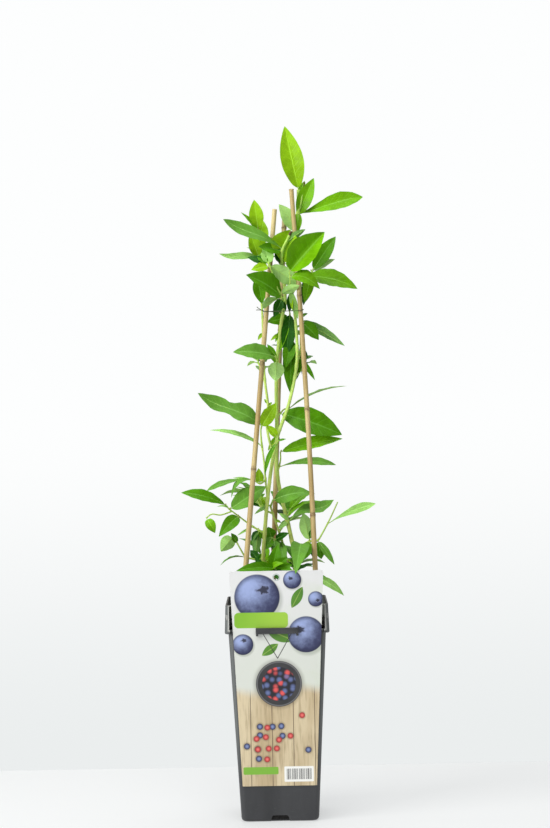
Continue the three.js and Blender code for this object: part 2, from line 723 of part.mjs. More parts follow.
const materials = {
  pot: new THREE.MeshStandardMaterial({ color: 0x3a3c3d, roughness: 0.55 }),
  mix: new THREE.MeshStandardMaterial({ color: 0x3b2a1e, roughness: 0.95 }),
  card: new THREE.MeshStandardMaterial({ color: 0xe9e6df, roughness: 0.5 }),
  cane: new THREE.MeshStandardMaterial({ color: 0xd8b98a, roughness: 0.7 }),
  wire: new THREE.MeshStandardMaterial({ color: 0x4a4a40, roughness: 0.5, metalness: 0.6 }),
  stem: new THREE.MeshStandardMaterial({ color: 0xa9c255, roughness: 0.6 }),
  leaf: new THREE.MeshStandardMaterial({ color: 0x5fa319, roughness: 0.5 }),
};

const plant = new THREE.Group();
const placed = [];
const skipped = [];

function place(name, solid, material) {
  const mesh = new THREE.Mesh(toGeometry(solid), material);
  mesh.name = name;
  plant.add(mesh);
  placed.push(solid);
}

place('pot', potSolid(), materials.pot);

const canes = CANES.map((cane) => ({ ...cane, curve: caneCurve(cane) }));
const caneRings = 8;
const caneSolid = (cane, clearance) => limbSolid(
  cane.curve, CANE.footRadius, CANE.tipRadius, CANE.sides, caneRings, clearance,
);
const mix = canes.reduce((whole, cane) => whole.subtract(caneSolid(cane, GAP)), potRoom(GAP, MIX_TOP));
place('potting_mix', mix, materials.mix);
place('label_card', cardSolid(), materials.card);
for (const cane of canes) place(cane.name, caneSolid(cane, 0), materials.cane);
place('tie_wire', wireSolid(canes), materials.wire);

const limbs = {};

function growLimb({ name, limb, height, footRadius, tipRadius, path }) {
  const foot = limb ? [atHeight(limbs[limb].curve, height).toArray()] : [];
  const curve = curveThrough([...foot, ...path]);
  const rings = 2 * (path.length + foot.length - 1);
  let solid = limbSolid(curve, footRadius, tipRadius, LIMB_SIDES, rings);
  if (limb) solid = largestPiece(solid.subtract(limbs[limb].grown));
  limbs[name] = { curve, grown: limbSolid(curve, footRadius, tipRadius, LIMB_SIDES, rings, GAP) };
  place(name, solid, materials.stem);
}

STEMS.forEach(growLimb);
BOUGHS.forEach(growLimb);

function growShoot({ name, limb, height, twig, thick = 1, leaves = [], sideTwigs = [], ruled }) {
  const neighbours = [...placed, ...Object.values(limbs).map((other) => other.grown)];
  const clear = (solid) => !neighbours.some((other) => touches(solid, other));
  const stem = curveThrough([atHeight(limbs[limb].curve, height).toArray(), ...twig]);
  const [rootRadius, tipRadius] = [TWIG.rootRadius * thick, TWIG.tipRadius * thick];
  const pieces = [limbSolid(stem, rootRadius, tipRadius, TWIG.sides, twig.length + 1)];
  const addLeaves = (curve, list, label) => list.forEach((each, k) => {
    const solid = leafSolid(curve.getPointAt(each.place), each);
    if (clear(solid)) pieces.push(solid);
    else skipped.push(`${name} ${label} ${k}`);
  });
  addLeaves(stem, leaves, 'leaf');
  sideTwigs.forEach((side, k) => {
    const curve = curveThrough([stem.getPointAt(side.place).toArray(), ...side.twig]);
    pieces.push(limbSolid(curve, TWIG.sideRadius, TWIG.tipRadius, TWIG.sides, side.twig.length + 1));
    addLeaves(curve, side.leaves, `side ${k} leaf`);
  });
  if (ruled) addLeaves(stem, ruledLeaves(ruled), 'ruled');
  place(name, largestPiece(joined(pieces).subtract(limbs[limb].grown)), materials.leaf);
}

SHOOTS.forEach(growShoot);
plant.userData.skipped = skipped;

export default plant;
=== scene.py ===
"""A young blueberry bush in a tall square nursery pot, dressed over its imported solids.

Lengths in the tables are millimetres, as in the part's source; every mesh is written in metres.
Stems, twigs, leaves and canes grow by the same rules as the solids, with finer surfaces.
"""

import math
from collections import namedtuple
from functools import partial

import bmesh
import bpy
import numpy as np
from mathutils import Matrix, Vector


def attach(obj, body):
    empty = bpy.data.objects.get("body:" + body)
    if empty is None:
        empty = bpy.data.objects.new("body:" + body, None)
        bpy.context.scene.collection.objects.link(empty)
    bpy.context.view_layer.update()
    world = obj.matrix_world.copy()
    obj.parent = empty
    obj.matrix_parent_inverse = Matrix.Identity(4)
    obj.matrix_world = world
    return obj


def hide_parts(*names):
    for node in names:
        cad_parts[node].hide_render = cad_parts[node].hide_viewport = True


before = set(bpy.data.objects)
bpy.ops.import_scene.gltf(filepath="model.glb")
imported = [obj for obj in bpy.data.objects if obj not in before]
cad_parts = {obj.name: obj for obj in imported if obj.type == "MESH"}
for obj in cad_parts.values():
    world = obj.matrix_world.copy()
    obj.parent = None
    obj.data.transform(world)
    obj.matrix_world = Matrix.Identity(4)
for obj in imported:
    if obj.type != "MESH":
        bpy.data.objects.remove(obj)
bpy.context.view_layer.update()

MM = 0.001
ROOT = "root"
FULL_TURN = 2 * math.pi

# ------------------------------------------------------------------ meshes


def new_piece(name, vertices, faces, materials, slots=None, smooth=True, uv=None, fields=None):
    """A mesh piece from points in millimetres and rows of corner numbers, one material slot per face."""
    mesh = bpy.data.meshes.new(name)
    mesh.from_pydata((np.asarray(vertices) * MM).tolist(), [], np.asarray(faces).tolist())
    for material in materials:
        mesh.materials.append(material)
    if slots is not None:
        mesh.polygons.foreach_set("material_index", np.asarray(slots, dtype=np.int32))
    mesh.polygons.foreach_set("use_smooth", np.full(len(mesh.polygons), smooth))
    if uv is not None:
        corner = np.empty(len(mesh.loops), dtype=np.int32)
        mesh.loops.foreach_get("vertex_index", corner)
        layer = mesh.uv_layers.new(name="UVMap")
        layer.uv.foreach_set("vector", np.asarray(uv, dtype=np.float32)[corner].ravel())
    for label, values in (fields or {}).items():
        field = mesh.attributes.new(label, "FLOAT", "POINT")
        field.data.foreach_set("value", np.asarray(values, dtype=np.float32))
    mesh.update()
    return show(name, mesh)


def show(name, data):
    """An object for a mesh, a lamp or a camera, in the scene."""
    made = bpy.data.objects.new(name, data)
    bpy.context.scene.collection.objects.link(made)
    return made


def sharpen_rims(piece):
    """Marks the rim of every blade, where its two skins meet, as a sharp edge."""
    mesh = piece.data
    edge = np.empty(len(mesh.loops), dtype=np.int32)
    mesh.loops.foreach_get("edge_index", edge)
    slot = np.empty(len(mesh.polygons), dtype=np.int32)
    mesh.polygons.foreach_get("material_index", slot)
    per_corner = np.repeat(slot, 4)
    low, high = np.full(len(mesh.edges), 9), np.full(len(mesh.edges), -9)
    np.minimum.at(low, edge, per_corner)
    np.maximum.at(high, edge, per_corner)
    mark = mesh.attributes.new("sharp_edge", "BOOLEAN", "EDGE")
    mark.data.foreach_set("value", low != high)


def grid_faces(rows, columns):
    """Corner numbers of the quads of a grid whose last column is joined to its first."""
    row, column = np.meshgrid(np.arange(rows - 1), np.arange(columns), indexing="ij")
    beside = (column + 1) % columns
    low, high = row * columns, (row + 1) * columns
    return np.stack([low + column, low + beside, high + beside, high + column], axis=-1).reshape(-1, 4)


class Heap:
    """Collects many small meshes of quads and joins them into one piece."""

    def __init__(self):
        self.points, self.faces, self.slots, self.uvs, self.count = [], [], [], [], 0

    def add(self, points, faces, slots=0, uv=None):
        """Adds one mesh: its points, its quads, their material slots and its map."""
        points = np.asarray(points, dtype=float).reshape(-1, 3)
        self.points.append(points)
        self.faces.append(np.asarray(faces) + self.count)
        self.slots.append(np.broadcast_to(slots, len(faces)))
        self.uvs.append(np.zeros((len(points), 2)) if uv is None else uv)
        self.count += len(points)

    def piece(self, name, materials):
        """All of the heap as one piece."""
        return new_piece(name, np.concatenate(self.points), np.concatenate(self.faces), materials,
                         slots=np.concatenate(self.slots), uv=np.concatenate(self.uvs))


# ------------------------------------------------------------------ curves


class Curve:
    """A uniform Catmull-Rom curve through points, read by share of its length.

    Between two points it is the cubic with half the chord of the outer neighbours as end slopes; the
    missing outer neighbours mirror the first and last chords."""

    def __init__(self, points, samples=200):
        points = np.asarray(points, dtype=float)
        padded = np.vstack([2 * points[0] - points[1], points, 2 * points[-1] - points[-2]])
        along = np.linspace(0, len(points) - 1, samples + 1)
        span = np.minimum(along.astype(int), len(points) - 2)
        w = (along - span)[:, None]
        before, start, end, after = (padded[span + k] for k in range(4))
        slope, next_slope = (end - before) / 2, (after - start) / 2
        self.samples = ((2 * start - 2 * end + slope + next_slope) * w ** 3
                        + (3 * end - 3 * start - 2 * slope - next_slope) * w ** 2 + slope * w + start)
        steps = np.linalg.norm(np.diff(self.samples, axis=0), axis=1)
        self.lengths = np.concatenate([[0], np.cumsum(steps)])
        self.length = self.lengths[-1]

    def at(self, share):
        """The point or points at shares of the length."""
        wanted = np.asarray(share) * self.length
        return np.stack([np.interp(wanted, self.lengths, self.samples[:, k]) for k in range(3)], axis=-1)

    def at_height(self, z):
        """The point where a rising curve passes a height."""
        return np.array([np.interp(z, self.samples[:, 2], self.samples[:, k]) for k in range(3)])


def unit(vectors):
    """The vectors, each at length one."""
    return vectors / np.linalg.norm(vectors, axis=-1, keepdims=True)


def circle(sides):
    """The angles of evenly spread points round a circle."""
    return np.arange(sides) * FULL_TURN / sides


def rings(first, second, turn):
    """Unit circles cos t first + sin t second, for one pair of crossing directions or for many."""
    return np.cos(turn)[:, None] * first[..., None, :] + np.sin(turn)[:, None] * second[..., None, :]


def direction(heading, rise):
    """The unit vector of a heading round +Z from +X and a rise over the level, in degrees."""
    heading, rise = math.radians(heading), math.radians(rise)
    return np.array([math.cos(rise) * math.cos(heading), math.cos(rise) * math.sin(heading), math.sin(rise)])


def bell(distance, width):
    """A smooth hump: exp(-(d / w)^2)."""
    return np.exp(-(distance / width) ** 2)


# How far a tube's ends stand out from its path, and the share of the radius that they are drawn in to.
TUBE_END, TUBE_POINT = 0.01, 0.02


def add_tube(heap, path, radii, sides):
    """Adds a closed tube to a heap: rings of the radii along the path, drawn in to a point at both ends."""
    path, radii = np.asarray(path, dtype=float), np.asarray(radii, dtype=float)
    tangents = unit(np.gradient(path, axis=0))
    along = np.vstack([tangents[:1], tangents, tangents[-1:]])
    middles = np.vstack([path[:1] - tangents[:1] * TUBE_END, path, path[-1:] + tangents[-1:] * TUBE_END])
    sizes = np.concatenate([TUBE_POINT * radii[:1], radii, TUBE_POINT * radii[-1:]])
    axis = np.eye(3)[np.argmin(np.abs(tangents).max(axis=0))]
    first = unit(axis - (along @ axis)[:, None] * along)
    turn = circle(sides)
    ring = rings(first, np.cross(along, first), turn)
    points = middles[:, None, :] + ring * sizes.reshape(len(middles), -1, 1)
    share = np.repeat(np.linspace(0, 1, len(middles)), sides)
    uv = np.stack([np.tile(turn / FULL_TURN, len(middles)), share], axis=-1)
    heap.add(points, grid_faces(len(middles), sides), uv=uv)


def seeded(seed):
    """The small generator that the solids use, so that both grow the same plant."""
    state = seed

    def draw():
        """The next number from 0 to 1."""
        nonlocal state
        state = (state + 0x6D2B79F5) & 0xFFFFFFFF
        mixed = ((state ^ (state >> 15)) * (state | 1)) & 0xFFFFFFFF
        mixed = ((mixed + (((mixed ^ (mixed >> 7)) * (mixed | 61)) & 0xFFFFFFFF)) & 0xFFFFFFFF) ^ mixed
        return ((mixed ^ (mixed >> 14)) & 0xFFFFFFFF) / 0x100000000

    return draw


# ------------------------------------------------------------------ the plant's plan

MIX_TOP = 215
CANE_FOOT, CANE_TIP, CANE_LENGTH = 3.1, 2.6, 510
WIRE_HEIGHT, WIRE_RADIUS = 553, 0.42
GOLDEN_ANGLE = 137.5

# Name, parent, height where it parts from it, radius at foot and tip, and points up the limb.
STEMS = [
    ("stem_tall", None, 0, 2.3, 1.5, [
        [-17, -6, 215.3], [-15, -6, 272], [-7, -7, 355], [3, -6, 411], [18, -4, 454], [27, -2, 500],
        [25.5, 0, 550], [22, 2, 576], [29.5, 2, 614]]),
    ("stem_crossing", None, 0, 2.3, 1.8, [
        [26, -2, 215.3], [19, 1, 293], [3.5, 5, 370], [3.5, 4, 430], [4.4, 3, 490], [10, 3, 538],
        [15, 4, 565], [14, 4, 592]]),
    ("stem_low", None, 0, 1.5, 1.0, [[18, 14, 215.3], [11, 10, 283], [-5, 5, 338]]),
    ("bough_left", "stem_tall", 394, 1.5, 1.1, [
        [-7, 0, 423], [-5.7, 2, 448], [-9.3, 3, 486], [-10.2, 3, 545], [-12.9, 2, 606]]),
    ("bough_thin", "stem_tall", 347, 1.1, 0.9, [[-10, -3, 368], [-11, -1, 385], [-13, -1, 403]]),
]

# Name, top, point where it enters the mix, sideways bow, and height of one node.
CANES = [
    ("cane_left", [5.3, -6, 664.5], [-38.7, -30, MIX_TOP], 0, 376),
    ("cane_right", [23.9, -8, 686], [43.2, -32, MIX_TOP], 3, 445),
    ("cane_back", [16.3, 14, 664], [-4.5, 36, MIX_TOP], -1.2, 410),
]

# A leaf by its tone, its place on the twig, the way its tip points, its size, the way its upper side
# faces, its arch, the raise of its halves, its wave and twist, the shift of its widest part, and the
# share that it is narrower at its middle.
Leaf = namedtuple("Leaf", "tone place heading rise length width facing arch fold wave twist late pinch",
                  defaults=(0.05, 20, 0, 0, 0.9, 0))
fresh, light, mid, deep, soft, pale = (
    partial(Leaf, tone) for tone in ("fresh", "light", "mid", "deep", "soft", "pale"))

# A mass by the limb it grows on, its height there, the points of its twig and its leaves; the twig's
# radii, whether its end is cut, its side twigs, and whether its leaves were dealt out by rule.
Shoot = namedtuple("Shoot", "name limb height twig leaves radii cut side_twigs ruled",
                   defaults=((1.25, 0.95, 0.7), False, (), False))
SideTwig = namedtuple("SideTwig", "place twig leaves cut", defaults=(False,))


def ruled_leaves(seed, count, heading, spread, rise, length):
    """Leaves one after another up the twig, each a golden angle on within the spread of the heading."""
    draw = seeded(seed)
    tones = ["mid", "light", "mid", "fresh", "deep", "light", "mid"]
    leaves = []
    for k in range(count):
        turn = ((k * GOLDEN_ANGLE) % 360) / 180 - 1
        size = length * (0.75 + 0.5 * draw())
        way = heading + turn * spread + 20 * (draw() - 0.5)
        up = rise + 40 * (draw() - 0.5)
        width = size * (0.32 + 0.08 * draw())
        facing = -25 + 50 * draw()
        arch = 0.04 + 0.1 * draw()
        place = min(1, 0.3 + 0.7 * (k + 1) / count)
        leaves.append(Leaf(tones[(seed + k) % len(tones)], place, way, up, size, width, facing, arch))
    return leaves


SHOOTS = [
    Shoot("foliage_tip", "stem_tall", 614, [[30, 1, 637], [31, 0, 662], [31.7, -1, 686]], [
        fresh(1, -161, 78, 71, 25, 84, 0.03, fold=26, wave=0.02),
        light(0.6, -10, 66, 45, 17, 78, 0.04, fold=26), light(0.84, 58, 57, 27, 8, 60),
        light(0.63, 2, 14, 74, 20, 70, late=1.6, wave=-0.02), light(0.66, -97, -75, 24, 9, 80, 0.1),
        pale(0.36, 172, 57, 37, 17, -60),
    ], radii=(1.6, 2.3, 1.8),
       side_twigs=[SideTwig(0.62, [[33.7, -3, 668], [36.2, -4, 682], [38.6, -4, 694]], [], cut=True)]),
    Shoot("foliage_upper_left", "bough_left", 606, [[-13, 1, 626], [-13.3, 0, 643]], [
        fresh(1, -127, 79, 33, 16, 85), light(0.87, -156, 49, 31, 7, 40, 0.05, fold=35),
        fresh(0.45, 52, 74, 32, 17, 80), fresh(0.18, -140, 65, 29, 14, 80),
        pale(0.14, -167, 7, 45, 9, 66, 0, wave=0.07), pale(0.2, 28, -2, 15, 10, 50),
    ]),
    Shoot("foliage_upper_front", "stem_crossing", 592,
          [[12, -4, 605], [13, -11, 619], [18, -15, 629], [23, -18, 639]], [
        soft(0.59, -171, 27, 73, 15, 68, 0.03, wave=0.05, late=1.5), mid(0.55, -166, 11, 27, 13, 70),
        fresh(0.3, -46, 68, 38, 33, 78, 0.02, fold=34, late=1.35), deep(0.75, -26, 29, 27, 8, -60),
        deep(0.3, -156, 59, 15, 9, 80, fold=30), mid(0.21, -151, 79, 17, 7, 80),
    ], radii=(1.7, 1.6, 1.5), cut=True),
    Shoot("foliage_right_head", "stem_tall", 570, [[30, 3, 583], [39, 4, 591], [46, 4, 597]], [
        mid(1, 9, 55, 46, 17, 75), pale(1, 22, 26, 30, 9, -60), light(0.75, -6, -15, 58, 22, 60, 0.12),
        light(0.96, 167, -76, 35, 12, 90), deep(0.73, 111, -74, 32, 9, 85),
    ]),
    Shoot("foliage_front_head", "stem_tall", 574, [[20, -12, 578], [21, -20, 587], [20, -23, 594]], [
        light(1, -10, 47, 58, 31, 74, 0.04, fold=50), light(0.84, -16, -23, 36, 17, 60, 0.3),
        fresh(0.23, -66, -78, 23, 4.5, 80), pale(0.33, 19, -75, 34, 8, 85, 0.04),
        deep(0, 122, -78, 22, 8, 85),
    ]),
    Shoot("foliage_left_head", "stem_crossing", 561,
          [[11, -8, 569], [6, -14, 579], [1, -17, 595], [-3, -18, 606]], [
        mid(0.23, -144, 26, 53, 27, 60, 0.08, fold=26), fresh(0.91, -168, -11, 21, 11, 65),
        pale(0.93, 15, -32, 44, 18, -84, 0.03), pale(0.24, -130, -20, 36, 12, -60, late=1.7),
        pale(0.32, -33, 18, 26, 10, -70), pale(0.93, 120, 68, 22, 14, 75, 0.08),
        mid(0.97, 163, 32, 16, 9, 60, 0.08), deep(0.96, 166, 19, 25, 9, 70), deep(0.23, 149, -58, 20, 9, 80),
        deep(0.13, 100, -57, 18, 9, 85), deep(0.2, -150, -62, 24, 10, 80),
    ]),
    Shoot("foliage_left_side", "bough_left", 579, [[-14, -1, 588], [-16, -3, 596]], [
        mid(0.77, 13, -81, 31, 15, 90),
    ]),
    Shoot("foliage_neck_front", "stem_crossing", 493, [[5, -10, 497], [4, -24, 502]], [
        soft(0.99, -168, 7, 48, 20, 60, 0.1), pale(0.68, -161, -85, 23, 18, -85), mid(1, -168, 55, 17, 6, 60),
        light(0.23, -175, 64, 23, 8, 70, 0.08),
    ]),
    Shoot("foliage_neck_back", "stem_tall", 510, [[24, 5, 517], [21, 8, 526], [21, 9, 541], [20, 9, 552]], [
        deep(0.98, -123, -80, 49, 16, 90), mid(0.39, -126, -86, 61, 18, 90),
        mid(0.36, -128, -69, 34, 14, 80, fold=24), light(0.91, -144, -69, 43, 6, 80, 0.03),
        mid(0.86, -178, -8, 26, 13, 75),
    ]),
    Shoot("foliage_neck_right", "stem_tall", 492, [[30, 5, 505], [32, 8, 521], [33, 9, 538], [32, 9, 547]], [
        mid(0.9, -15, -47, 28, 15, 65, 0.1), deep(0.94, 1, -32, 56, 12, -50, 0.02),
        mid(0.22, -1, -57, 31, 6, 60), deep(0.44, 5, -61, 17, 4, 60), mid(0.98, -32, 25, 10, 5, 50),
        deep(0.93, -127, -89, 60, 4, 85, 0.03), mid(0.26, -163, -82, 27, 7, 75),
    ]),
    Shoot("foliage_mid_left", "bough_thin", 403, [[-14, -1, 414], [-14, -1, 423], [-12, -2, 431]], [
        soft(0.86, -173, 28, 79, 24, 62, 0.02, wave=0.06, pinch=0.42), fresh(0.79, -16, 57, 32, 15, 85),
        pale(0.07, -173, 18, 60, 8, 40, 0.1),
    ]),
    Shoot("foliage_mid_center", "stem_tall", 405, [[4, -10, 409], [4, -12, 414]], [
        fresh(0.97, -179, 52, 18, 9, 60), mid(0.6, -166, -68, 40, 6, 30, 0.15), mid(0.66, -20, 12, 10, 3, 60),
    ]),
    Shoot("foliage_mid_right", "stem_crossing", 436, [[8, 7, 441], [12, 8, 445], [18, 9, 446]], [
        mid(0.34, -1, -20, 72, 30, 70, 0.08), pale(0.96, 5, 20, 69, 12, -5, 0.08),
    ]),
    Shoot("foliage_mid_low", "stem_crossing", 376, [[5, 7, 381], [7, 8, 390], [7, 8, 398]], [
        light(1, 0, 11, 70, 17, 55), soft(0.28, -5, 1, 63, 11, 50, 0.12, late=1.6),
    ]),
    Shoot("foliage_low_left", "stem_tall", 309,
          [[-26, -8, 318], [-39, -10, 328], [-50, -14, 337], [-53, -14, 341]], [
        mid(1, -168, 17, 52, 14, 58, 0.12, late=1.2), soft(0.89, 7, 31, 47, 21, 68),
        pale(0.91, -163, 12, 14, 2.5, 60, 0.3), mid(0.64, -141, -36, 35, 15, 75, 0.25),
        pale(0.28, -173, -28, 20, 3, 60), deep(0.14, 140, -78, 30, 10, -70), deep(0.1, 136, -36, 18, 9, 60),
        mid(0.14, 32, -52, 12, 8, 70),
    ], side_twigs=[SideTwig(0.83, [[-59, -18, 331], [-69, -20, 332], [-75, -21, 328]],
                             [light(1, -18, -59, 19, 11, 75, 0.25)])]),
    Shoot("foliage_low_left_upper", "bough_thin", 368, [[-16, -6, 364], [-23, -6, 368], [-27, -7, 369]], [
        soft(0.89, -169, -13, 52, 9, 40, 0.1, late=1.9), soft(0.74, -167, -35, 32, 8, 30, 0.35),
        fresh(0.39, -102, 70, 18, 10, 85), pale(0.99, -177, 5, 19, 3, 60),
    ]),
    Shoot("foliage_foot_left", "stem_tall", 278,
          [[-26, -10, 282], [-33, -12, 284], [-39, -16, 294], [-43, -18, 302], [-47, -18, 310]], [
        mid(0.77, -146, 56, 14, 7, 60), mid(0.95, 157, -48, 23, 16, -80), mid(0.4, -165, -16, 30, 8, 0, 0.15),
        deep(0.08, 154, 47, 16, 9, 60), deep(0.13, 121, 36, 16, 8, 70), mid(0.1, 42, 36, 13, 7, 70),
    ]),
    Shoot("foliage_low_mid", "stem_low", 338, [[-2, -2, 346]], [
        soft(0.85, -8, 8, 48, 18, 62, 0.2, twist=110), pale(0.2, 174, -28, 21, 6, 40),
    ]),
    Shoot("foliage_low_right_upper", "stem_crossing", 318, [[15, -3, 323]], [
        pale(0.51, 163, -28, 14, 6, 60), soft(0.51, 6, 25, 56, 18, 52, 0.08, wave=0.12, twist=60, late=1.8),
        pale(1, -164, 35, 14, 5, 60),
    ]),
    Shoot("foliage_low_right", "stem_crossing", 300,
          [[27, 2, 295], [37, 3, 299], [46, 3, 300], [50, 3, 305], [60, 2, 323], [69, 0, 342]], [
        pale(0.66, -9, 22, 58, 11, 60, 0.1, late=2), soft(0.15, -97, -23, 68, 20, 70, 0.2),
        mid(0.28, -113, -46, 27, 12, 85), mid(0.39, -15, -79, 21, 13, 85), soft(0.39, -26, -53, 33, 8, 60),
        pale(0.28, -134, 73, 33, 16, -80), deep(0.28, 40, -76, 19, 5, 85), deep(0.28, 52, 80, 37, 5, 85),
    ]),
    Shoot("foliage_foot_front", "stem_tall", 262, [[-9, -14, 267], [0, -20, 271]], [
        mid(0.99, -147, 1, 51, 13, 60, 0.1), mid(0.94, -37, -2, 24, 12, 60), mid(0.99, -30, 14, 21, 12, 80),
        mid(0.76, 10, 76, 29, 13, 80), deep(0.36, 168, 56, 22, 8, 70), mid(0.73, -27, 37, 25, 13, 80),
        light(0.58, -132, 47, 17, 8, 60, 0.2), light(0.86, -55, 24, 21, 8, 60, 0.25),
        deep(0.99, -85, -28, 22, 11, 60, 0.1),
    ]),
    Shoot("foliage_low_center", "stem_low", 301, [[0, 6, 301], [-6, 3, 305]], [
        soft(0.55, -156, 23, 20, 16, 75), mid(0.49, -29, 23, 17, 7, 60), mid(0.81, -130, -43, 18, 11, 75),
        soft(0.18, -69, -59, 29, 11, 60), mid(0.87, -122, 61, 14, 13, 78), soft(0.62, -77, -58, 17, 11, 78),
        deep(0.55, -36, 22, 21, 8, 70), mid(0.26, -24, -70, 23, 10, 80),
    ]),
    Shoot("foliage_right_foot", "stem_crossing", 246, [[35, 6, 256], [44, 8, 260]], [
        pale(0.9, -13, -31, 39, 10, 60, 0.2), mid(0.9, -51, 1, 23, 4, 60, 0.2),
    ]),
    Shoot("foliage_back_top", "stem_crossing", 590, [[20, 16, 604], [22, 26, 620]],
          ruled_leaves(11, 6, 80, 75, 35, 36), ruled=True),
    Shoot("foliage_back_upper_left", "bough_left", 598, [[-8, 14, 606], [-4, 24, 618]],
          ruled_leaves(32, 5, 110, 60, 30, 34), ruled=True),
    Shoot("foliage_back_neck", "stem_crossing", 520, [[16, 18, 528], [22, 30, 534]],
          ruled_leaves(13, 6, 85, 70, 20, 38), ruled=True),
    Shoot("foliage_back_mid_right", "stem_tall", 480, [[32, 9, 490], [29, 24, 502]],
          ruled_leaves(34, 6, 95, 40, 25, 36), ruled=True),
    Shoot("foliage_back_mid_left", "bough_left", 478, [[-14, 12, 492], [-17, 22, 502]],
          ruled_leaves(15, 5, 100, 45, 5, 28), ruled=True),
    Shoot("foliage_back_low_right", "stem_low", 310, [[10, 20, 318], [16, 32, 332]],
          ruled_leaves(16, 7, 70, 70, 15, 38), ruled=True),
    Shoot("foliage_back_low_left", "stem_low", 330, [[-14, 18, 336], [-24, 28, 350]],
          ruled_leaves(17, 7, 160, 50, 15, 38), ruled=True),
    Shoot("foliage_back_foot_right", "stem_low", 255, [[18, 24, 262], [22, 36, 274]],
          ruled_leaves(18, 6, 70, 65, 20, 32), ruled=True),
    Shoot("foliage_back_foot_left", "stem_low", 270, [[-6, 20, 272], [-16, 30, 282]],
          ruled_leaves(23, 6, 118, 45, 20, 27), ruled=True),
]

# Leaflets that sit straight on a limb: limb, height, heading, rise, length, width and tone.
LEAFLETS = [
    ("bough_left", 530, 180, -55, 10, 4, "fresh"), ("bough_left", 451, 175, 55, 7, 3, "fresh"),
    ("bough_left", 449, 5, 40, 6, 3, "fresh"), ("bough_left", 446, 185, -30, 7, 3, "light"),
    ("stem_crossing", 529, 180, -38, 13, 4, "fresh"), ("stem_crossing", 532, 185, -66, 14, 4, "light"),
    ("stem_crossing", 416, 180, -59, 19, 5, "fresh"), ("stem_crossing", 505, 170, -70, 12, 4, "fresh"),
    ("stem_tall", 416, 182, -52, 12, 4, "light"),
]


# ------------------------------------------------------------------ node trees


class Signal:
    """An output in a node tree. Each sum, step or mix with it adds a node and gives that node's output."""

    def __init__(self, nodes, socket):
        self.nodes, self.socket = nodes, socket

    def maths(self, operation, *others):
        """The value put through one operation, with other values or signals."""
        return self.nodes.out("ShaderNodeMath", dict(enumerate((self, *others))), operation=operation)

    def __add__(self, other):
        return self.maths("ADD", other)

    def __sub__(self, other):
        return self.maths("SUBTRACT", other)

    def __mul__(self, other):
        return self.maths("MULTIPLY", other)

    def __abs__(self):
        return self.maths("ABSOLUTE")

    def axis(self, number):
        """One of the three parts of a vector."""
        return self.nodes.out("ShaderNodeSeparateXYZ", {0: self}, number)

    def step(self, low, high, to_low=0.0, to_high=1.0):
        """A soft step of the value from low to high."""
        reach = {"Value": self, "From Min": low, "From Max": high, "To Min": to_low, "To Max": to_high}
        return self.nodes.out("ShaderNodeMapRange", reach, interpolation_type="SMOOTHSTEP")

    def mix(self, a, b):
        """Colour a where the value is 0, and b where it is 1."""
        return self.nodes.out("ShaderNodeMix", {0: self, 6: a, 7: b}, 2, data_type="RGBA")


class Nodes:
    """A node tree that is being built."""

    def __init__(self, tree):
        self.tree = tree

    def feed(self, made, inputs):
        """Fills a node's inputs: values are set, signals are linked."""
        for key, value in inputs.items():
            if isinstance(value, Signal):
                self.tree.links.new(value.socket, made.inputs[key])
            else:
                made.inputs[key].default_value = value

    def node(self, kind, inputs, **settings):
        """A new node with its settings and its inputs."""
        made = self.tree.nodes.new(kind)
        for key, value in settings.items():
            setattr(made, key, value)
        self.feed(made, inputs)
        return made

    def out(self, kind, inputs=None, output=0, **settings):
        """One output of a new node."""
        return Signal(self, self.node(kind, inputs or {}, **settings).outputs[output])

    def call(self, group, *values):
        """All outputs of a node that runs a group."""
        made = self.node("ShaderNodeGroup", dict(enumerate(values)), node_tree=group.tree)
        return [Signal(self, socket) for socket in made.outputs]

    def place(self, stretch=(1, 1, 1)):
        """The object's own coordinates in metres, times the stretch."""
        place = self.out("ShaderNodeTexCoord", output="Object")
        return self.out("ShaderNodeMapping", {"Vector": place, "Scale": stretch})

    def noise(self, scale, detail=3.0, rough=0.55, stretch=(1, 1, 1)):
        """Cloudy noise over the object's own coordinates."""
        inputs = {"Vector": self.place(stretch), "Scale": scale, "Detail": detail, "Roughness": rough}
        return self.out("ShaderNodeTexNoise", inputs)

    def cells(self, vector, scale, randomness=1.0, **settings):
        """The distance to the nearest cell's middle, a random share for each cell, and that middle."""
        made = self.node("ShaderNodeTexVoronoi", {"Vector": vector, "Scale": scale, "Randomness": randomness},
                         **settings)
        away, colour, middle = (Signal(self, made.outputs[label])
                                for label in ("Distance", "Color", "Position"))
        return away, self.out("ShaderNodeSeparateColor", {0: colour}), middle

    def bump(self, height, strength, distance):
        """Normals that follow a height, as deep as the distance in metres."""
        return self.out("ShaderNodeBump", {"Height": height, "Strength": strength, "Distance": distance})


class Skin(Nodes):
    """A material that is being built: its body colour, painted over, and then its Principled shader."""

    def __init__(self, name, body=None):
        self.material = bpy.data.materials.new(name)
        self.material.use_nodes = True
        self.body = body
        super().__init__(self.material.node_tree)

    def paint(self, mask, colour):
        """Lays a colour over the body where the mask is 1."""
        self.body = mask.mix(self.body, colour)

    def finish(self, rough, **others):
        """Fills the shader's inputs, their blanks written as low lines, and gives the material."""
        others = {label.replace("_", " "): value for label, value in others.items()}
        self.feed(self.tree.nodes["Principled BSDF"], {"Base Color": self.body, "Roughness": rough, **others})
        return self.material


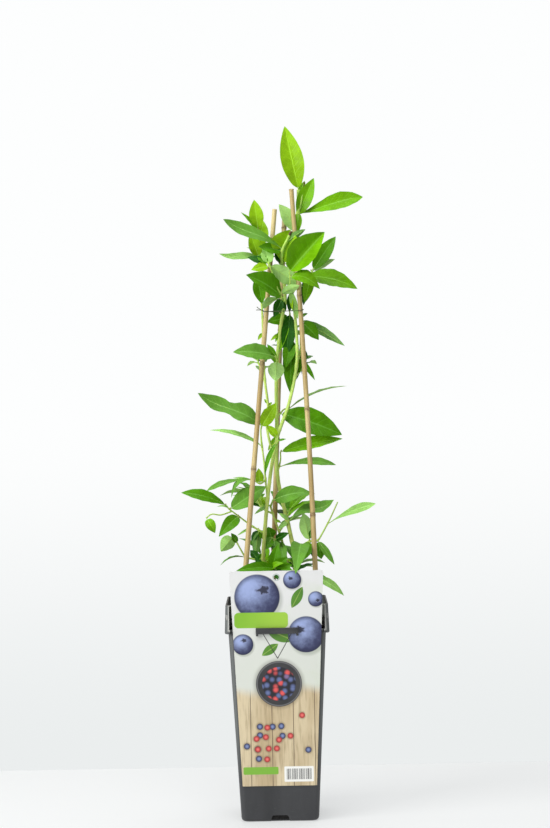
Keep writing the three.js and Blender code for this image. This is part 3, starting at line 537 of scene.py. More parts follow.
class Group(Nodes):
    """A node group with named inputs, given as signals, and named outputs."""

    def __init__(self, name, takes, gives):
        super().__init__(bpy.data.node_groups.new(name, "ShaderNodeTree"))
        for way, sockets in (("INPUT", takes), ("OUTPUT", gives)):
            for label, kind in sockets.items():
                self.tree.interface.new_socket(label, in_out=way, socket_type="NodeSocket" + kind)
        start = self.tree.nodes.new("NodeGroupInput")
        self.takes = [Signal(self, start.outputs[label]) for label in takes]

    def give(self, **outputs):
        """Links the outputs and gives the group."""
        self.feed(self.tree.nodes.new("NodeGroupOutput"), outputs)
        return self


def rgb(red, green, blue):
    """A display colour, 0 to 255, as the linear colour that a shader takes."""
    display = (c / 255 for c in (red, green, blue))
    linear = (c / 12.92 if c <= 0.04045 else ((c + 0.055) / 1.055) ** 2.4 for c in display)
    return (*linear, 1)


def tinted(colour, share, white=0.0):
    """A colour times a share, with a little white added."""
    return (*(min(1, c * share + white) for c in colour[:3]), 1)


def far(a, b):
    """The length of (a, b)."""
    return (a * a + b * b).maths("SQRT")


# ------------------------------------------------------------------ materials


def leaf_vein_group():
    """A blade's midrib, its side veins and the net between, on the blade's own map. The side veins are
    thin lines that leave the midrib forwards."""
    group = Group("leaf_veins", {"Map": "Vector"}, {"Rib": "Float", "Vein": "Float", "Net": "Float"})
    blade, = group.takes
    side = abs(blade.axis(0) * 2.0 - 1.0)
    run = blade.axis(1) * 9.0 - side * 1.5
    line = abs(run.maths("FRACT") * 2.0 - 1.0).step(0.8, 1.0)
    fine = group.out("ShaderNodeMapping", {"Vector": blade, "Scale": (10, 34, 1)})
    net = group.out("ShaderNodeTexVoronoi", {"Vector": fine, "Scale": 1.0}, feature="DISTANCE_TO_EDGE")
    return group.give(Rib=side.step(0.09, 0.02), Vein=line * side.step(1.0, 0.6), Net=net.step(0.0, 0.25))


def leaf_material(name, colour, veins, gloss, underside=False):
    """A leaf's skin: its colour with paler veins, slow patches and a satin, slightly quilted surface."""
    skin = Skin(name)
    blade = skin.out("ShaderNodeUVMap", uv_map="UVMap")
    rib, vein, net = skin.call(veins, blade)
    patches = skin.noise(70.0, 2.0)
    paler = tinted(colour, 1.3, 0.012)
    skin.body = patches.step(0.3, 0.7).mix(tinted(colour, 0.76), colour)
    skin.paint(vein * (0.5 if underside else 0.4), paler)
    # Painted sheen: the blade turns paler towards its tip.
    skin.paint(blade.axis(1).step(0.5, 1.0, 0.0, 0.25), paler)
    skin.paint(net * -0.1 + 0.1, paler)
    skin.paint(rib * 0.8, tinted(colour, 1.3, 0.035))
    height = net * 0.08 + vein * (1.0 if underside else -1.0)
    rough = patches.step(0.2, 0.8, gloss - 0.06, gloss + 0.08)
    return skin.finish(rough, Normal=skin.bump(height, 0.4, 0.0004), Specular_IOR_Level=0.12)


# The upper side and the underside of each tone of leaf. The soft tone, and the pale tone on some leaves, are
# partly painted sheen: greyer, paler greens where a leaf's surface catches the light.
TONES = {
    "fresh": (rgb(142, 192, 18), rgb(178, 222, 120)),
    "light": (rgb(110, 172, 6), rgb(168, 212, 116)),
    "mid": (rgb(80, 142, 4), rgb(156, 202, 108)),
    "deep": (rgb(32, 92, 4), rgb(118, 166, 84)),
    "soft": (rgb(98, 152, 50), rgb(148, 190, 110)),
    "pale": (rgb(150, 202, 102), rgb(166, 212, 120)),
}


def stem_material(name, low, high, spots):
    """Green bark: colour from the foot upwards, fine lengthwise lines, dots and a low sheen."""
    skin = Skin(name)
    fibres = skin.noise(900.0, stretch=(1, 1, 0.06))
    warts = skin.noise(1500.0, 2.0)
    skin.body = skin.place().axis(2).step(0.215, 0.46).mix(low, high)
    skin.paint(fibres.step(0.45, 0.75, 0.0, 0.55), spots)
    skin.paint(warts.step(0.62, 0.72, 0.0, 0.5), spots)
    return skin.finish(0.5, Normal=skin.bump(warts * 0.5 + fibres, 0.5, 0.0005),
                       Subsurface_Weight=0.1, Subsurface_Scale=0.001)


def cane_material():
    """Bare bamboo: tan with lengthwise fibres, browner towards the foot, with specks, and dark scars
    where the nodes are."""
    skin = Skin("bamboo")
    fibre = skin.noise(1100.0, 3.0, 0.6, (1, 1, 0.02))
    broad = skin.noise(60.0, stretch=(1, 1, 0.12))
    specks = skin.noise(420.0, 4.0, 0.7)
    joint = skin.out("ShaderNodeAttribute", output="Fac", attribute_name="joint_scar")
    lower = skin.place().axis(2).step(0.66, 0.26, 0.15, 0.8)
    skin.body = broad.step(0.35, 0.65).mix(rgb(188, 168, 106), rgb(216, 200, 142))
    skin.paint(lower * broad.step(0.62, 0.4, 0.45, 1.0), rgb(150, 116, 68))
    skin.paint(fibre.step(0.4, 0.75, 0.0, 0.5), rgb(138, 112, 66))
    skin.paint(joint * specks.step(0.3, 0.6), rgb(88, 58, 34))
    skin.paint(specks.step(0.66, 0.74, 0.0, 0.55), rgb(120, 88, 54))
    return skin.finish(broad.step(0.2, 0.8, 0.42, 0.6), Normal=skin.bump(specks * 0.4 + fibre, 0.45, 0.0004))


def cut_material():
    """The cut end of a cane: pale pith with darker fibre ends."""
    skin = Skin("cane_cut")
    skin.body = skin.noise(2600.0, 2.0).step(0.4, 0.65).mix(rgb(150, 112, 70), rgb(205, 176, 128))
    return skin.finish(0.8)


def pot_material():
    """Dark moulded plastic with a fine grain and flow marks, dust on its upper faces, and painted highlights
    in paler grey on the collar's front beside the card and on the corners."""
    skin = Skin("moulded_plastic")
    grain = skin.noise(1400.0, 2.0)
    flow = skin.noise(26.0, 5.0, 0.6, (1, 1, 0.25))
    scuff = skin.noise(150.0, 5.0, 0.75, (1, 1, 3))
    normal, place = skin.out("ShaderNodeTexCoord", output="Normal"), skin.place()
    outward, height = normal.axis(1), place.axis(2)
    skin.body = flow.step(0.3, 0.7).mix(rgb(46, 47, 50), rgb(60, 61, 64))
    skin.paint(scuff.step(0.6, 0.78, 0.0, 0.35), rgb(120, 121, 122))
    skin.paint(normal.axis(2).step(0.5, 1.0) * flow.step(0.35, 0.7, 0.15, 0.6), rgb(104, 92, 78))
    # Painted highlight: light grey on the front faces of the collar's posts beside the card.
    painted_post_highlight = height.step(0.206, 0.2085) * outward.step(-0.75, -0.95) * flow.step(0.3, 0.7, 0.75, 1.0)
    skin.paint(painted_post_highlight * abs(place.axis(0)).step(0.04, 0.048), rgb(168, 169, 165))
    # Painted highlight: paler grey on the rounded corners, fading in upwards from the foot.
    corner = outward.step(-0.98, -0.72) * outward.step(-0.2, -0.55) * height.step(0.03, 0.12, 0.0, 0.5)
    skin.paint(corner, rgb(118, 124, 122))
    return skin.finish(flow.step(0.25, 0.75, 0.36, 0.5), Normal=skin.bump(scuff * 0.4 + grain, 0.25, 0.0002))


def mix_material():
    """Moist peat: dark crumbs with brown fibres and pale grains, with painted shade, near black, at the side
    walls and below the top, where the pot's slots and notches look in.
    """
    skin = Skin("peat")
    place = skin.place()
    away, lot, _ = skin.cells(place, 420.0)
    shade = skin.noise(160.0, 5.0, 0.7)
    fibre = skin.noise(800.0, stretch=(1, 0.15, 1))
    skin.body = shade.step(0.3, 0.7).mix(rgb(38, 26, 18), rgb(84, 60, 40))
    skin.paint(fibre.step(0.6, 0.7, 0.0, 0.6), rgb(120, 88, 56))
    skin.paint(lot.step(0.93, 0.97, 0.0, 0.8), rgb(176, 164, 146))
    # Painted shade: near black near the left and right walls and below the bed's top.
    painted_wall_shade = abs(place.axis(0)).step(0.046, 0.05).maths("MAXIMUM", place.axis(2).step(0.208, 0.2))
    skin.paint(painted_wall_shade, rgb(16, 14, 13))
    return skin.finish(0.92, Normal=skin.bump(shade + away, 0.9, 0.001))


def wire_material():
    """Thin coated wire, grey olive with worn bright spots."""
    skin = Skin("coated_wire")
    wear = skin.noise(700.0)
    skin.body = wear.step(0.55, 0.7).mix(rgb(84, 92, 62), rgb(140, 146, 112))
    return skin.finish(wear.step(0.4, 0.7, 0.5, 0.35), Metallic=0.4)


# ------------------------------------------------------------------ the printed card

# Berries on the card: place across and up in millimetres, radius, and where the little star sits.
BERRIES = [(-21, 244, 25, 0.25, 0.3), (31, 203, 20, -0.3, 0.25), (-37, 193, 11.5, 0.1, 0.35),
           (17, 262, 10, -0.2, 0.2), (42, 241, 8.5, 0.3, -0.2)]
# Printed leaves: middle across and up, half length, half width, turn in degrees.
CARD_LEAVES = [(3, 203, 17, 7.5, -24), (22, 243, 13, 5.5, 62), (-8, 187, 11, 5, 35)]
BOWL = (1, 150, 25)  # middle across and up, and radius
HOLE_HEIGHT, HOLE_RIM = 265, 3.5
TONGUE = (177.6, 15, 26.2)  # the height of its point, its half width and its height


def berry_group():
    """One printed berry from its own coordinates: round mask, bloom shading and the star of the calyx."""
    takes = ("Across", "Up", "Star Across", "Star Up", "Mottle", "Warp")
    group = Group("printed_berry", dict.fromkeys(takes, "Float"), {"Mask": "Float", "Shade": "Color"})
    x, z, star_x, star_z, mottle, warp = group.takes
    out = far(x, z)
    glow = (mottle - 0.5) * 0.9 + far(x + 0.35, z - 0.4)
    shade = glow.step(0.0, 1.35).mix(rgb(158, 174, 220), rgb(44, 48, 86))
    shade = out.step(0.72, 1.0, 0.0, 0.7).mix(shade, rgb(24, 28, 58))
    x, z = (warp - 0.5) * 0.5 + (x - star_x), (mottle - 0.5) * 0.5 + (z - star_z) * 1.35
    rays = (z.maths("ARCTAN2", x) * 5.0).maths("COSINE") * 0.035 + far(x, z)
    shade = rays.step(0.36, 0.27, 0.0, 0.5).mix(shade, rgb(128, 138, 178))
    shade = rays.step(0.27, 0.16, 0.0, 0.9).mix(shade, rgb(24, 22, 40))
    return group.give(Mask=out.step(1.0, 0.95), Shade=shade)


def card_material():
    """Coated card, printed on its front only: berries, leaves and a blank green band on warm white, a
    bowl of berries in the middle, and boards with loose berries below."""
    skin = Skin("printed_card")
    place = skin.out("ShaderNodeTexCoord", output="Object")
    x, z = place.axis(0) * (1 / MM), place.axis(2) * (1 / MM)
    clouds = skin.noise(22.0, 4.0)

    def local(middle_x, middle_z, size=1.0):
        """The place across and up from a middle, in sizes."""
        return (x - middle_x) * (1 / size), (z - middle_z) * (1 / size)

    def rounded(middle_x, middle_z, half_x, half_z, corner, soft=0.3):
        """The mask of a block with rounded corners."""
        a, b = local(middle_x, middle_z)
        a, b = abs(a) + (corner - half_x), abs(b) + (corner - half_z)
        return far(a.maths("MAXIMUM", 0.0), b.maths("MAXIMUM", 0.0)).step(corner, corner - soft)

    # Warm white ground, a little greener and darker downwards.
    skin.body = z.step(262, 165).mix(rgb(222, 223, 223), rgb(212, 216, 208))
    skin.paint(clouds.step(0.5, 0.75, 0.0, 0.3), rgb(196, 210, 176))

    # Boards: wide planks with grain, their upper end fading into the ground.
    gap = abs((x * (1 / 23.0) + 0.31).maths("FRACT") * 2.0 - 1.0)
    tint, grain = skin.noise(36.0, stretch=(1, 1, 0.2)), skin.noise(420.0, 4.0, stretch=(1, 1, 0.07))
    wood = tint.step(0.35, 0.65).mix(rgb(188, 168, 132), rgb(214, 198, 164))
    wood = grain.step(0.45, 0.75, 0.0, 0.6).mix(wood, rgb(150, 130, 96))
    wood = gap.step(0.955, 0.985).mix(wood, rgb(92, 72, 54))
    edge = (x * 0.07).maths("SINE") * 3.0 + 143.0
    skin.paint((z - edge).step(7.0, -7.0), wood)

    def scatter(pitch, shift, bright, dark, least):
        """Loose berries over the boards, one in some cells of a net, each with a soft shadow."""
        spot = skin.out("ShaderNodeCombineXYZ", {0: x * pitch + shift, 1: z * pitch - shift})
        away, lot, middle = skin.cells(spot, 1.0, 0.5, voronoi_dimensions="2D")
        berry_x, berry_z = (middle.axis(0) - shift) * (1 / pitch), (middle.axis(1) + shift) * (1 / pitch)
        heap = far(berry_x + 12.0, berry_z - 92.0).step(33.0, 14.0, 0.0, 0.8)
        some = (lot + heap).step(least, least + 0.02) * berry_z.step(119, 118) * berry_z.step(67, 68)
        some = some * abs(berry_x).step(38.5, 38.0)
        skin.paint(some * away.step(0.44, 0.22, 0.0, 0.55), rgb(84, 62, 44))
        skin.paint(some * away.step(0.27, 0.25), away.step(0.0, 0.27).mix(bright, dark))

    scatter(0.078, 0.0, rgb(126, 142, 190), rgb(34, 38, 74), 0.86)
    scatter(0.083, 4.4, rgb(238, 112, 104), rgb(158, 28, 36), 0.95)

    # The bowl, seen from above: wide dark rim, darker inside, heaped with berries.
    bowl_x, bowl_z, bowl_r = BOWL
    out = far(*local(bowl_x, bowl_z))
    away, lot, _ = skin.cells(place, 150.0, 0.7)
    heaped = lot.step(0.56, 0.58).mix(rgb(96, 110, 158), rgb(222, 84, 84))
    heaped = away.step(0.15, 0.62).mix(heaped, rgb(22, 22, 34))
    glaze = clouds.step(0.4, 0.65).mix(rgb(38, 39, 42), rgb(58, 58, 60))
    bowl = out.step(bowl_r * 0.74, bowl_r * 0.71).mix(glaze, heaped)
    bowl = abs(out - bowl_r * 0.94).step(1.0, 0.3, 0.0, 0.6).mix(bowl, rgb(120, 120, 122))
    skin.paint(out.step(bowl_r + 5, bowl_r - 1, 0.0, 0.4), rgb(70, 60, 46))
    skin.paint(out.step(bowl_r, bowl_r - 0.5), bowl)

    for middle_x, middle_z, half, slim, turn in CARD_LEAVES:
        a, b = local(middle_x, middle_z)
        c, s = math.cos(math.radians(turn)), math.sin(math.radians(turn))
        run, rise = a * (c / half) + b * (s / half), abs(b * (c / slim) - a * (s / slim))
        green = rise.step(0.0, 0.12).mix(rgb(176, 206, 96), rgb(92, 146, 40))
        green = clouds.step(0.35, 0.65, 0.0, 0.6).mix(green, rgb(56, 108, 32))
        skin.paint((run * run + rise).step(1.0, 0.95), green)

    berries = berry_group()
    mottle, warp = skin.noise(130.0, 5.0, 0.65), skin.noise(210.0)
    for middle_x, middle_z, radius, star_x, star_z in BERRIES:
        a, b = local(middle_x, middle_z, radius)
        skin.paint(far(a - 0.08, b + 0.12).step(1.12, 0.92, 0.0, 0.35), rgb(96, 110, 84))
        mask, shade = skin.call(berries, a, b, star_x, star_z, mottle, warp)
        skin.paint(mask, shade)

    band = x.step(-46, 6).mix(rgb(128, 184, 44), rgb(156, 200, 62))
    skin.paint(rounded(-17, 219, 29, 8.5, 4.5), band)

    # Lower right: a white block with plain bars, and a short green strip beside it.
    bars = ((x * 1.7).maths("SINE") * 0.35 + x * 0.95).maths("FRACT").step(0.5, 0.56)
    block = (bars * rounded(21, 52, 13.5, 6, 0.4)).mix(rgb(238, 238, 234), rgb(40, 40, 42))
    skin.paint(rounded(21, 52, 16, 8.5, 1.2), block)
    skin.paint(rounded(-20, 56, 19, 4.2, 1.5), rgb(120, 176, 52))

    # The rim of the punched hole, and the shadow lines of the slits that cut the tongue.
    ring = abs(far(*local(0, HOLE_HEIGHT)) - HOLE_RIM)
    skin.paint(ring.step(0.75, 0.55), rgb(184, 194, 190))
    low, wide, high = TONGUE
    off = abs(abs(x) - (z - low) * (wide / high))
    within = z.step(low - 0.6, low) * z.step(low + high + 0.6, low + high)
    skin.paint(within * off.step(0.6, 0.4), rgb(58, 60, 58))

    back = skin.out("ShaderNodeTexCoord", output="Normal").axis(1).step(-0.9, -0.6)
    skin.paint(back, rgb(232, 230, 222))
    return skin.finish(0.34, Normal=skin.bump(skin.noise(1800.0, 2.0), 0.06, 0.0001), Coat_Weight=0.15)


# ------------------------------------------------------------------ pot, mix, canes and wire


def pot_piece(finish):
    """The pot's solid as one welded skin with softly rounded edges."""
    source = bpy.data.objects["pot"]
    mesh = source.data.copy()
    mesh.name = "moulded_pot"
    mesh.materials.clear()
    mesh.materials.append(finish)
    shell = bmesh.new()
    shell.from_mesh(mesh)
    bmesh.ops.remove_doubles(shell, verts=shell.verts, dist=2e-6)
    bmesh.ops.dissolve_limit(shell, angle_limit=math.radians(0.6), verts=shell.verts, edges=shell.edges)
    for face in shell.faces:
        face.smooth = True
        face.material_index = 0
    shell.to_mesh(mesh)
    shell.free()
    piece = show("moulded_pot", mesh)
    piece.matrix_world = Matrix(source.matrix_world)
    rounding = piece.modifiers.new("rounding", "BEVEL")
    rounding.width = 0.0005
    rounding.segments = 2
    rounding.limit_method = "ANGLE"
    rounding.angle_limit = math.radians(35)
    return piece


def soft_noise(x, y, seed, waves, low, high):
    """A smooth random height between about -1 and 1: a sum of sine waves with seeded ways and lengths.

    h(x, y) = sum over k of a_k sin(f_k (x cos w_k + y sin w_k) + p_k), a_k falling with f_k."""
    draw = np.random.default_rng(seed)
    pitch = np.exp(draw.uniform(math.log(low), math.log(high), waves))
    way = draw.uniform(0, FULL_TURN, waves)
    phase = draw.uniform(0, FULL_TURN, waves)
    weight = pitch ** -0.5
    weight = weight / np.sqrt((weight ** 2).sum() / 2)
    total = 0 * x
    for k in range(waves):
        along = x * np.cos(way[k]) + y * np.sin(way[k])
        total = total + weight[k] * np.sin(pitch[k] * FULL_TURN * along + phase[k])
    return total * 0.5


def humps(x, y):
    """The broad unevenness of the mix's top, in millimetres: 1.5 soft noise of (x, y)."""
    return 1.5 * soft_noise(x, y, 5, 24, 0.02, 0.12)


POT_HALF, POT_FLARE = 42.1, 0.0508  # the pot's half width at its foot, and its growth for each mm of height
MIX_INSET = 2.2  # the pot's wall and a gap
BED_HALF, BED_FRONT = 52.6, -50.4  # the bed's top ends at the collar's wall, and in front at the card
BED_HEIGHT, BED_DROP = 214.6, 2.2  # the middle height of the bed's top, and how far it sinks at the wall
CRUMBS, FIBRES = 420, 46


def peat_bed(peat):
    """The mix fills the pot: a rounded square drawn up the inside, closed by an uneven top.

    At angle a the outline lies at 1 / (|cos a|^14 + |sin a|^14)^(1/14) half widths. The top is at
    214.6 + humps + 0.8 soft noise r - 2.2 (1 - r)^2, with r from 0 at the wall to 1 inside it."""
    turn = np.linspace(0, FULL_TURN, 192, endpoint=False)
    reach = 1 / (np.abs(np.cos(turn)) ** 14 + np.abs(np.sin(turn)) ** 14) ** (1 / 14)
    outline = np.column_stack([reach * np.cos(turn), reach * np.sin(turn)])
    walls = [(POT_HALF + POT_FLARE * z - MIX_INSET, z) for z in (2.6, 20, 80, 140, 204, 213.2)]
    rows = [np.column_stack([outline * half, np.full(len(turn), z)]) for half, z in [(0, 2.6)] + walls]
    for q in np.linspace(1, 0.004, 64):
        x, y = (outline * BED_HALF * q).T
        y = np.maximum(y, BED_FRONT)
        rim = np.clip((1 - q) * 9, 0, 1)
        rise = humps(x, y) + 0.8 * soft_noise(x, y, 6, 40, 0.12, 0.5) * rim
        rows.append(np.column_stack([x, y, BED_HEIGHT + rise - BED_DROP * (1 - rim) ** 2]))
    return new_piece("peat_bed", np.concatenate(rows), grid_faces(len(rows), len(turn)), [peat])


def peat_crumbs(peat):
    """Loose crumbs on the mix, each a ball with lumps, pressed and turned, and bent fibres."""
    heap = Heap()
    draw = np.random.default_rng(31)
    u = np.linspace(0.08, math.pi - 0.08, 6)[:, None]
    v = np.linspace(0, FULL_TURN, 8, endpoint=False)
    sphere = np.stack(np.broadcast_arrays(np.sin(u) * np.cos(v), np.sin(u) * np.sin(v), np.cos(u)), axis=-1)
    for _ in range(CRUMBS):
        x, y = draw.uniform(-50, 50, 2)
        if y < -47.5:
            continue
        size = draw.uniform(0.5, 1.9) if draw.random() < 0.85 else draw.uniform(1.9, 3.4)
        squash = draw.uniform(0.5, 1.0, 3) * size
        ball = sphere * (1 + 0.22 * draw.standard_normal((6, 8, 1)))
        ball[0], ball[-1] = ball[0].mean(axis=0), ball[-1].mean(axis=0)
        spin, lean = draw.uniform(0, FULL_TURN), draw.uniform(-0.7, 0.7)
        turned = Matrix.Rotation(spin, 3, "Z") @ Matrix.Rotation(lean, 3, "X")
        middle = [x, y, 214.8 + humps(x, y) + 0.25 * size]
        heap.add((ball.reshape(-1, 3) * squash) @ np.array(turned).T + middle, grid_faces(6, 8)[:, ::-1])
    share = np.linspace(-1, 1, 7)
    for _ in range(FIBRES):
        x, y = draw.uniform(-46, 46, 2)
        way, half, bend = draw.uniform(0, math.pi), draw.uniform(3, 8), draw.uniform(-1.5, 1.5)
        path = np.column_stack([x + np.cos(way) * half * share - np.sin(way) * bend * share ** 2,
                                y + np.sin(way) * half * share + np.cos(way) * bend * share ** 2,
                                216.2 + 0.36 * draw.standard_normal() + 0.5 * share])
        add_tube(heap, path, np.full(7, draw.uniform(0.15, 0.4)), 5)
    return heap.piece("peat_crumbs", [peat])


def cane_curve(top, ground, bow):
    """A cane's middle line, straight down from its top through its place in the mix, with a sideways bow."""
    high = np.array(top, dtype=float)
    down = unit(np.array(ground, dtype=float) - high)
    shares = np.array([0, 0.25, 0.5, 0.75, 1])
    points = high + down * CANE_LENGTH * (1 - shares)[:, None]
    points[:, 0] += bow * np.sin(math.pi * shares)
    return Curve(points)


CANE_SIDES = 20
JOINT_PITCH = 118  # from node to node of a cane
HOLLOW = [(0, 2.25), (0, 1.4), (0.5, 1.25), (3, 1.2), (7, 1.1), (7, 0.02)]  # depths and radii in its cut end


def cane_piece(name, curve, joint_height, seed, skin, cut):
    """A bamboo cane, cut square on top. Its rings go up the outside, in over the cut and down the hollow.

    With s from foot to top, r = 3.1 - 0.5 s - 0.14 + 0.34 ridge - 0.16 groove + 0.12 swell
    + 0.06 sin(2 a + p) + 0.04 sin(z / 31 + q), where ridge, groove and swell are bells at each node."""
    share = np.linspace(0, 1, int(CANE_LENGTH / 1.5))
    path = curve.at(share)
    draw = np.random.default_rng(seed)
    joints = joint_height + JOINT_PITCH * np.arange(-4, 5) + draw.uniform(-6, 6, 9)
    gap = path[:, 2][:, None] - joints[None, :]
    ridge, groove, swell = (bell(gap - off, width).sum(axis=1)
                            for off, width in ((0, 1.3), (2.4, 0.8), (0, 6)))
    turn = circle(CANE_SIDES)
    oval = 0.06 * np.sin(2 * turn + draw.uniform(0, 6))
    wave = oval + 0.04 * np.sin(path[:, 2:3] / 31 + draw.uniform(0, 6))
    radius = CANE_FOOT + (CANE_TIP - CANE_FOOT) * share - 0.14 + 0.34 * ridge - 0.16 * groove + 0.12 * swell
    down = unit(path[0] - path[-1])
    first = unit(np.cross(down, [0.0, 1.0, 0.0]))
    ring = rings(first, np.cross(first, down), turn)
    foot = [path[0] + ring * 0.02]
    body = list(path[:, None, :] + ring[None, :, :] * (radius[:, None] + wave)[:, :, None])
    inner = [path[-1] + down * deep + ring * wide for deep, wide in HOLLOW]
    rows = foot + body + inner
    scar = np.concatenate([[0], np.clip(ridge + 0.7 * groove, 0, 1), np.zeros(len(inner))])
    slots = np.repeat([0] * (len(rows) - len(inner) - 1) + [1] * len(inner), CANE_SIDES)
    return new_piece(name, np.concatenate(rows), grid_faces(len(rows), CANE_SIDES), [skin, cut], slots=slots,
                     fields={"joint_scar": np.repeat(scar, CANE_SIDES)})


def wire_piece(canes, finish):
    """The tie: one turn of wire pulled round the three canes, its two ends twisted together and let go.

    With h(t) the canes' farthest reach at angle t, the loop is h (cos t, sin t) + h' (-sin t, cos t)."""
    centres = np.array([curve.at_height(WIRE_HEIGHT) for curve in canes])
    turn = np.linspace(0, FULL_TURN, 97)[:-1]
    out = np.column_stack([np.cos(turn), np.sin(turn)])
    reach = 2.73 + WIRE_RADIUS + 0.1  # a cane's radius there, the wire's, and a gap
    support = (centres[:, :2] @ out.T).max(axis=0) + reach
    slope = (np.roll(support, -1) - np.roll(support, 1)) / (2 * (turn[1] - turn[0]))
    loop = np.column_stack([support * np.cos(turn) - slope * np.sin(turn),
                            support * np.sin(turn) + slope * np.cos(turn),
                            WIRE_HEIGHT + 0.9 * np.sin(turn + 0.6)])
    for _ in range(2):
        loop = (np.roll(loop, 1, axis=0) + 2 * loop + np.roll(loop, -1, axis=0)) / 4
    tangent = unit(np.roll(loop, -1, axis=0) - np.roll(loop, 1, axis=0))
    side = unit(np.cross(tangent, [0.0, 0.0, 1.0]))
    heap = Heap()
    faces = grid_faces(len(loop) + 1, 10) % (len(loop) * 10)
    heap.add(loop[:, None, :] + rings(side, np.cross(side, tangent), circle(10)) * WIRE_RADIUS, faces)
    start = centres[0] + [-reach, -1, 0]
    out = unit(np.array([-0.88, -0.25, 0.3]))
    share = np.linspace(0, 1, 34)
    twist = np.clip(1 - share * 1.9, 0, 1)
    for phase, way, tail in ((0, [-0.8, -0.2, 0.55], 0.6), (math.pi, [-0.95, -0.3, 0.1], -0.9)):
        line = start + share[:, None] * 8.5 * out
        line = line + (share ** 1.6)[:, None] * 4.5 * (unit(np.array(way)) - out)
        angle = phase + share * 15
        line[:, 1] += 0.5 * np.cos(angle) * twist
        line[:, 2] += 0.5 * np.sin(angle) * twist + tail * share ** 3
        add_tube(heap, line, np.full(len(line), 0.4), 8)
    return heap.piece("tie_wire_dressed", [finish])


# ------------------------------------------------------------------ stems, twigs and leaves

STEM_SIDES = 18
SCAR_PITCH = 19  # from scar to scar of the old leaves


def bark_relief(turn, height, seed):
    """Relief of green bark in millimetres: shallow ribs lengthwise that wander, and small low warts.

    d = 0.05 sin(5 a + 0.03 z + p) + 0.03 sin(9 a - 0.05 z + q) + 0.045 soft noise of (a, z)."""
    p, q = np.random.default_rng(seed).uniform(0, 6, 2)
    a, z = np.meshgrid(turn, height)
    ribs = 0.05 * np.sin(5 * a + 0.03 * z + p) + 0.03 * np.sin(9 * a - 0.05 * z + q)
    return ribs + 0.045 * soft_noise(np.cos(a) * 3 + np.sin(a) * 2, z, seed + 50, 30, 0.05, 0.6)


def stem_piece(name, path, foot, tip, knots, seed, bark):
    """A limb: radius evenly from foot to tip, with the bark's relief, a swelling at every knot and scars
    of old leaves between."""
    curve = Curve(path)
    share = np.linspace(0, 1, int(curve.length / 1.1) + 2)
    along = curve.at(share)
    turn = circle(STEM_SIDES)
    radius = foot + (tip - foot) * share
    for knot in knots:
        radius = radius + 0.34 * bell(along[:, 2] - knot, 2.6)
    scars = np.arange(20, curve.length - 12, SCAR_PITCH)
    scars = scars + np.random.default_rng(seed + 7).uniform(-4, 4, len(scars))
    relief = bark_relief(turn, along[:, 2], seed)
    for k, place in enumerate(scars):
        way = (k * math.radians(GOLDEN_ANGLE)) % FULL_TURN
        apart = np.angle(np.exp(1j * (turn - way)))
        relief = relief + 0.42 * bell(share * curve.length - place, 0.9)[:, None] * bell(apart, 0.55)
    heap = Heap()
    add_tube(heap, along, radius[:, None] + relief, STEM_SIDES)
    return heap.piece(name, [bark]), curve


ROWS, COLUMNS = 20, 9


def blade_faces():
    """Faces of a blade's two skins on one grid: they share the rim, so the blade is closed."""
    upper = np.arange(ROWS * COLUMNS).reshape(ROWS, COLUMNS)
    lower = upper.copy()
    lower[1:-1, 1:-1] = ROWS * COLUMNS + np.arange((ROWS - 2) * (COLUMNS - 2)).reshape(ROWS - 2, COLUMNS - 2)
    top, bottom = (np.stack([grid[:-1, :-1], grid[:-1, 1:], grid[1:, 1:], grid[1:, :-1]], axis=-1)
                   .reshape(-1, 4) for grid in (upper, lower))
    return np.concatenate([top, bottom[:, [0, 3, 2, 1]]]), np.repeat([0, 1], [len(top), len(bottom)])


BLADE_FACES, BLADE_SLOTS = blade_faces()


